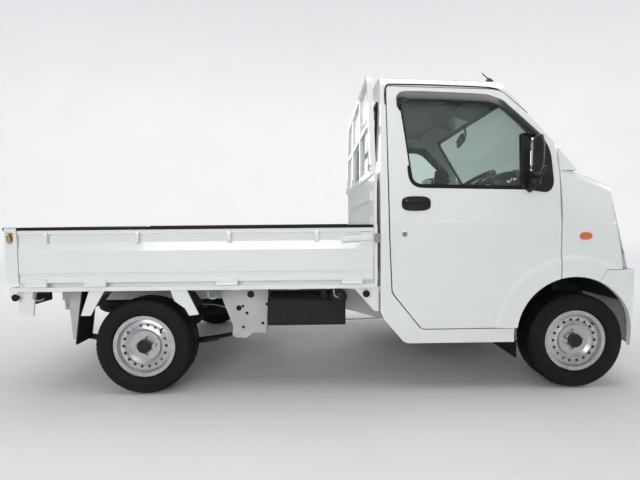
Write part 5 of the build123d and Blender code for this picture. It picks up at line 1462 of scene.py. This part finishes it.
# %% [markdown]
# ## Cab furniture
# Seat belts hang from a guide on the rear pillar; a tongue waits at elbow height and the buckle
# stands on its stalk between the seats.

# %% Seat belts
belt_paths = [bent(5, (372, -668, 1262), (376, -664, 1000), (380, -664, 800), (376, -664, 700)),
              bent(5, (392, -660, 1262), (400, -655, 1000), (398, -655, 820), (392, -658, 700))]
straps = [sweep(path, bar(23, 0.8, 0.6), up=(0, 1, 0)) for path in belt_paths]
guide = slab(soft([(345, 1250), (420, 1250), (410, 1292), (355, 1292)], 10, 4), -0.674, -0.655)
guide_bolt = lathe([(0, 1), (0, 13), (6, 11), (9, 1)], mm(382, -655, 1281), steps=18)
tongue = slab(soft([(374, 800), (424, 800), (420, 845), (408, 875), (390, 875), (378, 845)], 6),
              -0.659, -0.652)
retractor = block(mm(345, -676, 652), mm(425, -640, 715))
stalk = sweep(mm((430, -75, 650), (445, -72, 720), (462, -70, 790)), bar(8, 5, 2), up=(0, 1, 0))
buckle = block(mm(446, -86, 780), mm(480, -56, 845))
belt_web = worn_finish("belt_web", "seat_vinyl", (0.03, 0.03, 0.032), (0.05, 0.05, 0.052), (0.6, 0.8),
                       60.0, 0.0005, 1600.0)
pair("seat_belts", join(straps), belt_web)
pair("belt_hardware", join([guide, guide_bolt, retractor, stalk, buckle]), black_plastic, bevel=0.0025)
pair("belt_tongues", tongue, steel, bevel=0.001)

print("belts with", len(straps), "straps a side")

# %% [markdown]
# The gear and brake levers are bent rods with turned knobs and grips. The rubber boot is turned
# too: its radius falls with height while a cosine adds the folds. Pedals hang from flat arms, and
# the mat's ribs are a square wave under the feet.

# %% Levers, pedals and mat
gear_rod = tube(bent(6, (930, -20, 470), (925, -20, 620), (885, -20, 800)), 7, 12)
gear_knob = lathe([(-30, 1), (-28, 12), (-12, 20), (6, 24), (20, 18), (26, 1)], mm(878, -20, 822),
                  (-0.3, 0, 1), 24)
BOOT_TALL, BOOT_FOLDS = 150, 6
boot_height = np.linspace(0, BOOT_TALL, 31)
boot_radius = 78 - 52 * boot_height / BOOT_TALL + 5 * np.cos(boot_height / BOOT_TALL * BOOT_FOLDS * tau)
gear_boot = lathe([(0, 1), *zip(boot_height, boot_radius), (BOOT_TALL, 6)], mm(932, -20, 441), (0, 0, 1),
                  28, closed=False)
brake_bar = tube(bent(5, (560, 0, 655), (640, 0, 700), (800, 0, 745)), 9, 12)
brake_grip = lathe([(-65, 1), (-65, 13), (-30, 15.5), (30, 15.5), (62, 13), (66, 1)], mm(790, 0, 742),
                   (1, 0, 0.28), 20)
pedals = []
for y, wide in ((-0.195, 0.022), (-0.275, 0.028), (-0.352, 0.028)):
    arm = sweep(bent(4, (1262, 0, 740), (1225, 0, 640), (1205, 0, 575)), bar(7, 5, 2), up=(0, 1, 0))
    pad = slab(soft([(1196, 545), (1210, 540), (1226, 600), (1212, 604)], 4), -wide, wide)
    pedals.append(moved(join([arm, pad]), (0, y, 0)))
mat_x, mat_y = np.linspace(0.828, 1.280, 120), np.linspace(-0.600, 0.600, 60)
mat_grid = np.stack(np.meshgrid(mat_x, mat_y, indexing="ij") + [np.zeros((120, 60))], -1)
# Ahead of the seats the mat narrows, to leave the wheel housings free
mat_grid[..., 1] *= np.interp(mat_grid[..., 0], [0.97, 1.02], [1.0, 0.64])
ribbed = (np.abs(np.abs(mat_grid[..., 1]) - 0.35) < 0.19) & (np.abs(mat_grid[..., 0] - 1.05) < 0.18)
mat_grid[..., 2] = 0.4425 + 0.0016 * (np.sin(mat_grid[..., 0] * tau / 0.024) > 0) * ribbed
piece("gear_lever", join([gear_rod, gear_knob, brake_grip] + pedals), black_plastic, bevel=0.001)
piece("gear_boot", gear_boot, rubber)
piece("brake_lever", brake_bar, steel)
piece("floor_mat", grid_shape(mat_grid), mat_carpet, solid=0.003)
print("levers,", len(pedals), "pedals and mat")

# %% [markdown]
# ## Dashboard, mirror and door trims
# Parts on the dashboard are modelled flat and then set on its leaning face: a point (out, across,
# up) lands at origin + out * N + across * (U x N) + up * U, where N leaves the face and U climbs it.


# %% Setting parts on a leaning face
def set_on(shape, origin, up, out):
    """A shape modelled with X out of a face and Z up it, moved to that face."""
    up, out = (np.array(v, float) / np.linalg.norm(v) for v in (up, out))
    points = shape[0] @ np.array([out, np.cross(up, out), up])
    return points + np.array(origin), shape[1]


def panel(half_wide, half_tall, corner, low, high, middle=0):
    """A flat rounded panel that stands from low to high, in millimetres, out of its face."""
    line = rect(-half_wide, middle - half_tall, half_wide, middle + half_tall, corner, 5)
    return slab(line, low / 1000, high / 1000, "yz")


def framed(wide, tall, corner, border, proud):
    """A frame in millimetres that stands proud of its face, as one closed ring."""
    rows = [(0, 0), (0, proud), (border, proud), (border + 2, 1)]
    grid = [upright(bar(wide / 2 - inset, tall / 2 - inset, corner, 5), out / 1000) for inset, out in rows]
    return grid_shape(grid, wrap_rows=True, wrap_columns=True)


print("a frame has", len(framed(110, 56, 8, 6, 8)[1]), "faces")

# %% [markdown]
# The dashboard carries four air vents, a hooded cluster of dials, a radio panel with three knobs
# and a glovebox lid. Most are framed or flat panels, and the dials and knobs are turned. Each is
# set on the leaning face that it belongs to.

# %% Dashboard
LOW_FACE = ((-0.040, 0, 0.180), (-0.180, 0, -0.040))
VENT_FACE = ((0.050, 0, 0.090), (-0.090, 0, 0.050))
DIAL_FACE = ((0.2, 0, 1), (-1, 0, 0.2))
DIAL_Y = -0.380
vent = join([framed(110, 56, 8, 6, 8)] + [panel(47, 2.5, 2, 1, 6, s) for s in (-15, -5, 5, 15)])
around = np.linspace(0, np.pi, 25)
hood_rows = [
    np.stack([np.full(25, FX + x), DIAL_Y - half * np.cos(around), top + rise * np.sin(around) ** 0.6], -1)
    for x, half, rise, top in ((-0.226, 0.150, 0.064, 1.158), (-0.236, 0.152, 0.066, 1.158),
                               (-0.232, 0.142, 0.056, 1.162), (-0.170, 0.135, 0.052, 1.162))]
back_row = hood_rows[0] * (1, 1, 0.35) + (0.080, 0, 1.160 - 1.158 * 0.35)
dials = join([
    set_on(lathe([(1, r), (4, r), (4, r - 4), (1, r - 4)], (0, y, 0), (1, 0, 0), 40),
           (FX - 0.190, DIAL_Y, 1.186), *DIAL_FACE)
    for y, r in ((0, 24), (0.062, 17), (-0.062, 17))])
cluster = set_on(panel(125, 26, 18, 0, 2), (FX - 0.188, DIAL_Y, 1.184), *DIAL_FACE)
knob = lathe([(3, 16.5), (16, 13), (18, 11), (18, 1)], (0, 0, -0.030), (1, 0, 0), 24, closed=False)
radio = join([framed(200, 180, 10, 4, 4), panel(89, 25, 4, 0, 5, 50), panel(89, 31, 4, 0, 3, -30),
              spread(knob, ys=(-0.055, 0, 0.055))])
glovebox = join([panel(165, 65, 16, 0, 4), panel(35, 10, 6, 3, 9, 45)])
shroud = lathe([(-200, 1), (-200, 45), (-120, 50), (-45, 40), (-30, 1)], joint_place("steering_wheel_turn"),
               (-0.8192, 0, 0.5736), 28)
piece("dash_hood", grid_shape([back_row] + hood_rows), dash_plastic, solid=0.004)
vents = spread(set_on(vent, (FX - 0.257, 0, 1.107), *VENT_FACE), ys=(-0.545, -0.150, 0.150, 0.545))
piece("dash_vents", vents, black_plastic, bevel=0.0008)
piece("dash_cluster", join([cluster, shroud]), black_plastic, bevel=0.001)
piece("dash_dials", dials, chrome)
piece("dash_centre", set_on(radio, (FX - 0.262, 0, 0.970), *LOW_FACE), black_plastic, bevel=0.001)
piece("dash_glovebox", set_on(glovebox, (FX - 0.262, 0.340, 0.960), *LOW_FACE), dash_plastic, bevel=0.002)

print("dashboard with", len(hood_rows) + 1, "rows in its hood")

# %% [markdown]
# The room mirror hangs from the roof on a stem, a little turned and tipped. Its back is a loft of
# rounded outlines of changing size. The visors are the seats' pillow, made thin.

# %% Room mirror, grip and visors
MIRROR_PLACE = mm(1010, 0, 1515)
mirror_turn = Matrix.Rotation(radians(-14), 4, "Z") @ Matrix.Rotation(radians(-8), 4, "Y")
mirror_rows = [
    upright(soft([(-y, -z), (y, -z), (y * 0.94, z), (-y * 0.94, z)], z * 0.7, 6), x / 1000)
    for x, y, z in ((-10, 112, 24), (-12, 117, 29), (-8, 121, 33), (4, 119, 31), (16, 95, 20), (20, 50, 10))]
room_mirror = turned(grid_shape(mirror_rows, wrap_columns=True, caps=True), mirror_turn)
room_glass = turned(panel(111, 23, 20, -12.8, -10.8), mirror_turn)
stem = tube(MIRROR_PLACE + bent(5, (12, 0, 10), (35, 0, 45), (20, 0, 105)), 7, 12)
grip = tube(bent(6, (1165, 600, 1290), (1125, 585, 1305), (1060, 582, 1400), (1045, 590, 1450)), 10, 12)
visor = turned(pillow((0.140, 0.400, 0.018), 0.02, 0.008), Matrix.Rotation(radians(20), 4, "Y"))
piece("room_mirror", join([moved(room_mirror, MIRROR_PLACE), stem, grip]), black_plastic)
piece("room_mirror_glass", moved(room_glass, MIRROR_PLACE), mirror_glass, slot="lamp_glass")
piece("sun_visors", spread(visor, [0.935], (-0.33, 0.33), [1.640]), headliner)
print("room mirror at", MIRROR_PLACE)

# %% [markdown]
# A door's inside is a moulded card with a pocket, an arm rest, a window winder and a door pull.
# They are made once for the right door, mirrored for the left, and each set rides on its door.

# %% Door trims
card = slab(soft([(420, 500), (1120, 500), (1140, 880), (420, 880)], 40, 6), -0.678, -0.670)
pocket = slab(soft([(500, 530), (1060, 530), (1060, 630), (500, 600)], 20, 4), -0.672, -0.652)
arm_rest = sweep(bent(6, (520, -668, 790), (570, -640, 800), (760, -636, 806), (840, -668, 812)),
                 ring(16, 20, 14))
winder = join([lathe([(0, 1), (0, 26), (10, 22), (14, 1)], (0, 0, 0), steps=28),
               tube(mm((0, 10, 0), (-50, 20, 18), (-105, 22, 30)), 6),
               lathe([(0, 1), (0, 10), (16, 12), (24, 8), (26, 1)], mm(-100, 18, 29), steps=20)])
pull = framed(100, 50, 14, 8, 6)
pull = moved((pull[0][:, [1, 0, 2]], pull[1]), (1.010, -0.671, 0.835))
each_side("door_card", join([card, pocket]), trim_plastic, "door", bevel=0.003)
winder = moved(winder, (0.960, -0.672, 0.740))
each_side("door_fittings", join([arm_rest, winder, pull]), black_plastic, "door")
print("door trims on both doors")

# %% [markdown]
# ## Rear end and underside
# The tail lamps are moulded boxes whose lens has three fields: amber for turning, red for braking
# and clear for reversing. Fine ribs cross each lens, z = a * |sin(k * y)|, to spread the light.

# %% Tail lamps and reflectors
lamp_box_low, lamp_box_high = corners("tail_lamps")
LAMP_OUTER, LAMP_INNER, LENS_RIM = -0.640, -0.500, 0.004
LENS_DEPTH, LENS_RIB, LENS_WAVES = 0.006, 0.0006, 24
lamp_x = lamp_box_low[0] + 0.003
low, high = lamp_box_low[2] + 0.006, lamp_box_high[2] - 0.006


def lens_field(y_from, y_to):
    """A ribbed lens field of a tail lamp, bowed a little rearwards, with its rim turned in."""
    u, v = np.meshgrid(np.linspace(0, 1, 61), np.linspace(0, 1, 13), indexing="ij")
    rim = np.minimum(np.minimum(u, 1 - u) * (y_to - y_from), np.minimum(v, 1 - v) * (high - low))
    bow = LENS_DEPTH * np.clip(rim / LENS_RIM, 0, 1) ** 0.5
    bow += LENS_RIB * np.abs(np.sin(u * LENS_WAVES * np.pi)) * (rim > LENS_RIM)
    return grid_shape(np.stack([lamp_x - bow, y_from + (y_to - y_from) * u, low + (high - low) * v], -1))


for label, y_from, y_to, finish in (("turn", -0.634, -0.588, lens_amber), ("brake", -0.586, -0.538, lens_red),
                                    ("reverse", -0.536, LAMP_INNER, lens_white)):
    pair(f"tail_lens_{label}", lens_field(y_from, y_to), finish, solid=0.0015)
y0, y1, z0, z1 = LAMP_OUTER, LAMP_INNER + 0.006, low - 0.008, high + 0.008
rim = [upright(rounded([(y0 + i, z0 + i), (y1 - i, z0 + i), (y1 - i, z1 - i), (y0 + i, z1 - i)], 0.010, 5),
               lamp_x + out) for i, out in ((0.0, 0.012), (0.0, -0.001), (0.006, -0.001), (0.0065, 0.004))]
pair("tail_lamp_rims", grid_shape(rim, wrap_rows=True, wrap_columns=True), black_plastic)
reflex = lathe([(0, 20.5), (-4, 20.5), (-6, 18), (-6.8, 10), (-7, 1)], (TAIL_X + 0.030, -0.440, 0.548),
               (1, 0, 0), 36, closed=False)
pair("rear_reflectors", reflex, lens_red)
print("tail lamps from", lamp_box_low, "to", lamp_box_high)

# %% [markdown]
# Under the sills hang rubber stoppers that the open gates rest on, and open rope hooks. A hook is
# a bar bent along a curve through a few points.

# %% Stoppers, sill hooks and filler
stopper = lathe([(-12, 1), (-12, 13), (0, 19), (3, 19), (4.5, 16), (4.8, 1)], (0, -0.722, 0), (0, -1, 0), 24)
stops = [moved(stopper, mm(x, 0, z)) for x, z in ((-1651.5, 540), (-412.5, 545), (-23.5, 540), (202.5, 540))]
sill_hook = tube(bent(6, (0, -700, 580), (0, -716, 556), (2, -719, 536), (12, -716, 524), (30, -712, 522),
                      (46, -709, 532)), 4.8)
pair("gate_stoppers", join(stops), rubber)
pair("sill_hooks", spread(sill_hook, (-1.560, -0.640, 0.030)), steel)
FILLER = mm(62, -690, 523)
filler = lathe([(0, 1), (0, 36), (-4, 40), (-12, 40), (-16, 36), (-16, 30), (-12, 27), (-12, 1)], FILLER,
               steps=40)
knurl = lathe([(-12, 26), (-26, 24), (-28, 20), (-28, 1)], FILLER, steps=12, closed=False)
neck = tube(bent(6, (62, -690, 523), (60, -640, 522), (30, -590, 500), (-10, -560, 470), (-20, -555, 440)),
            24, 18)
piece("fuel_filler", join([filler, knurl, neck]), black_plastic)
pipe = bent(8, (-980, -350, 400), (-700, -362, 402), (-400, -366, 300), (100, -366, 300), (400, -366, 310),
            (900, -366, 330))
piece("brake_pipe", tube(pipe, 3.5, 8), steel)
print("stoppers, hooks, filler and pipe")

# %% [markdown]
# The engine's sump is cast with cooling fins across its foot and closed by two drain plugs. A row
# of thin blocks and a six-sided turned head are enough for what is seen from below.

# %% Sump fins and drain plugs
drain = lathe([(0, 1), (0, 12), (8, 12), (10, 8), (10, 1)], mm(545, 0, 346), (0, 0, -1), 6)
block_low, block_high = corners("engine_block")
fin = block((0, -0.16, block_low[2] - 0.005), (0.006, 0.16, block_low[2] + 0.004))
fins = spread(fin, np.linspace(block_low[0] + 0.05, block_high[0] - 0.06, 9))
piece("sump_fins", join([fins, spread(drain, (-0.05, 0))]), cast_iron, bevel=0.001)
print("underside details")

# %% [markdown]
# ## Roof strips and the cab's rear
# A black drip strip follows the rear and top edges of each door. Behind, the window sits in
# rubber, the panel below it is pressed into upright ribs against drumming, and the guard frame is
# held by bolts. A rib is a strip whose depth follows cos^2 across its width. The plates that hold
# the rear springs are pierced in the factory, and each hole is closed with a rubber plug.

# %% Drip strips, rear window seal and ribs
DRIP = from_axle((-1032, 1560), (-1031, 1640), (-1016, 1674), (-985, 1678), (-783, 1674), (-507, 1662),
                 (-430, 1653), (-400, 1644))
drip = sweep(on_cab_side(smooth_path(DRIP, 6), 0.001), soft([(-4, -4), (4, -4), (3, 3), (-3, 3)], 1.5, 2),
             up=(0, -1, 0))
pair("drip_strips", drip, black_plastic)
LEAN_FROM, LEAN_TO = 1.150, 1.823


def on_cab_back(outline, stand=0.0):
    """Points (y, z) laid on the cab's rear face, which leans forward above the bed's front."""
    lean = CAB_REAR_LEAN * np.clip((outline[:, 1:] - LEAN_FROM) / (LEAN_TO - LEAN_FROM), 0, 1)
    return upright(outline, CAB_REAR - stand) + lean * (1, 0, 0)


(y0, z0), (y1, z1) = (corner[1:] for corner in corners("rear_glass"))
rear_line = rounded([(y0, z0), (y1, z0), (y1, z1), (y0, z1)], 0.04, 8)
rear_seal = sweep(on_cab_back(rear_line, 0.001), soft([(-6, -12), (6, -12), (6, 12), (-4, 14)], 4),
                  closed=True, up=(0, 0.001, 1))
across, along = np.linspace(-1, 1, 13), np.linspace(0, 1, 15)
ends = np.clip(np.minimum(along, 1 - along) / 0.1, 0, 1) ** 0.5
height = 0.0045 * (np.cos(across * np.pi / 2) ** 2)[:, None] * ends
flat = np.stack(np.meshgrid(across * 0.022, 0.900 + along * 0.290, indexing="ij"), -1).reshape(-1, 2)
rib = on_cab_back(flat) - (height.reshape(-1, 1) + 0.0004) * (1, 0, 0)
piece("rear_window_seal", rear_seal, rubber)
piece("cab_back_ribs", spread(grid_shape(rib.reshape(13, 15, 3)), ys=np.linspace(-0.52, 0.52, 9)), paint,
      solid=0.0012)
guard_bolt = bolt((corners("guard_frame")[0][0] - 0.001, 0, 0), (-1, 0, 0))
piece("guard_bolts", spread(guard_bolt, ys=(-0.664, 0.664), zs=(1.200, 1.225)), steel)
# A hanger plate's outer face, and its plugs: X, Z and radius, in millimetres
HANGER_FACE = -523
HANGER_PLUGS = [(-523, 422, 16), (-499, 433, 8), (-476, 391, 9), (-498, 307, 8), (-383, 330, 9),
                (-357, 443, 9)]
plugs = [lathe([(-2, 1), (-2, r), (1, r), (2, r * 0.8), (0.8, r * 0.6), (0.8, 1)], mm(x, HANGER_FACE, z),
               (0, -1, 0), 28) for x, z, r in HANGER_PLUGS]
pair("hanger_plugs", join(plugs), rubber)
print("drip strips, rear seal, ribs, bolts and plugs")

# %% [markdown]
# ## Floor, backdrop and light
# The truck stands on a plain pale floor that rises all round as a bowl, so no corner shows from
# any side. Wide soft lamps above and at the sides give even light with a gentle shadow below.

# %% Floor and lamps
# The bowl's floor, the arc at its edge and the top of its wall, in millimetres
FLOOR_RADIUS, RISE_RADIUS, RISE_TOP = 9000, 5000, 22000
BACKDROP_COLOUR = (0.90, 0.91, 0.92)
bend = np.linspace(0, pi / 2, 17)
rise = list(zip(RISE_RADIUS * (1 - np.cos(bend)), FLOOR_RADIUS + RISE_RADIUS * np.sin(bend)))


def staged(name, profile, finish):
    """A surface of the stage, turned from a profile of (height, radius) in millimetres."""
    item = new_object(name, lathe(profile, (0, 0, 0), (0, 0, 1), 128, closed=False))
    item.data.materials.append(finish)
    return item


floor_paint = worn_finish("floor_paint", "body_paint", (0.66, 0.665, 0.67), (0.63, 0.635, 0.64),
                          (0.5, 0.65), 0.8)
net, shader, place = parts_of(floor_paint)
reach = vectors(net, "LENGTH", place)["Value"]
feed(net, BACKDROP_COLOUR, shader.inputs["Emission Color"])
feed(net, between(net, reach, 3.5, 11.0, 0.0, 0.42), shader.inputs["Emission Strength"])
staged("floor", [(0, 1), (0, FLOOR_RADIUS)], floor_paint)
backdrop = staged("backdrop", rise + [(RISE_TOP, FLOOR_RADIUS + RISE_RADIUS)], floor_paint)
backdrop.visible_diffuse = backdrop.visible_glossy = backdrop.visible_shadow = False

world = bpy.data.worlds.new("world")
scene.world = world
world.use_nodes = True
net = world.node_tree
sky = net.nodes["Background"]
feed(net, (0.86, 0.89, 0.93), sky.inputs["Color"])
feed(net, 0.42, sky.inputs["Strength"])
seen = add(net, "Background", {"Color": BACKDROP_COLOUR, "Strength": 0.92})
ray = add(net, "LightPath", {}).outputs["Is Camera Ray"]
view = add(net, "MixShader", {"Fac": ray, 1: sky.outputs[0], 2: seen.outputs[0]})
feed(net, view.outputs[0], net.nodes["World Output"].inputs["Surface"])


def lamp(name, place, aim, size, power):
    """A flat rectangular lamp at a place, turned to face a point."""
    data = bpy.data.lights.new(name, "AREA")
    data.shape = "RECTANGLE"
    data.size, data.size_y = size
    data.energy = power
    item = bpy.data.objects.new(name, data)
    direction = Vector(aim) - Vector(place)
    item.matrix_world = Matrix.Translation(place) @ direction.to_track_quat("-Z", "Y").to_matrix().to_4x4()
    scene.collection.objects.link(item)


lamp("ceiling", (0, -0.4, 4.2), (0, 0, 0), (6.0, 3.0), 130)
lamp("right_fill", (-1.2, -5.2, 2.3), (0, 0, 0.8), (4.0, 1.6), 95)
lamp("front_fill", (5.4, -0.6, 2.6), (0.8, 0, 0.8), (2.4, 1.8), 55)
lamp("left_fill", (0.5, 4.6, 2.6), (0, 0, 0.8), (4.0, 1.6), 60)
lamp("rear_fill", (-5.4, 0.4, 2.6), (-0.8, 0, 0.8), (2.4, 1.8), 45)
lamp("backdrop_wash", (0, 2.2, 5.2), (0, 8.0, 2.6), (14.0, 1.2), 620)
print("floor and", len(bpy.data.lights), "lamps")
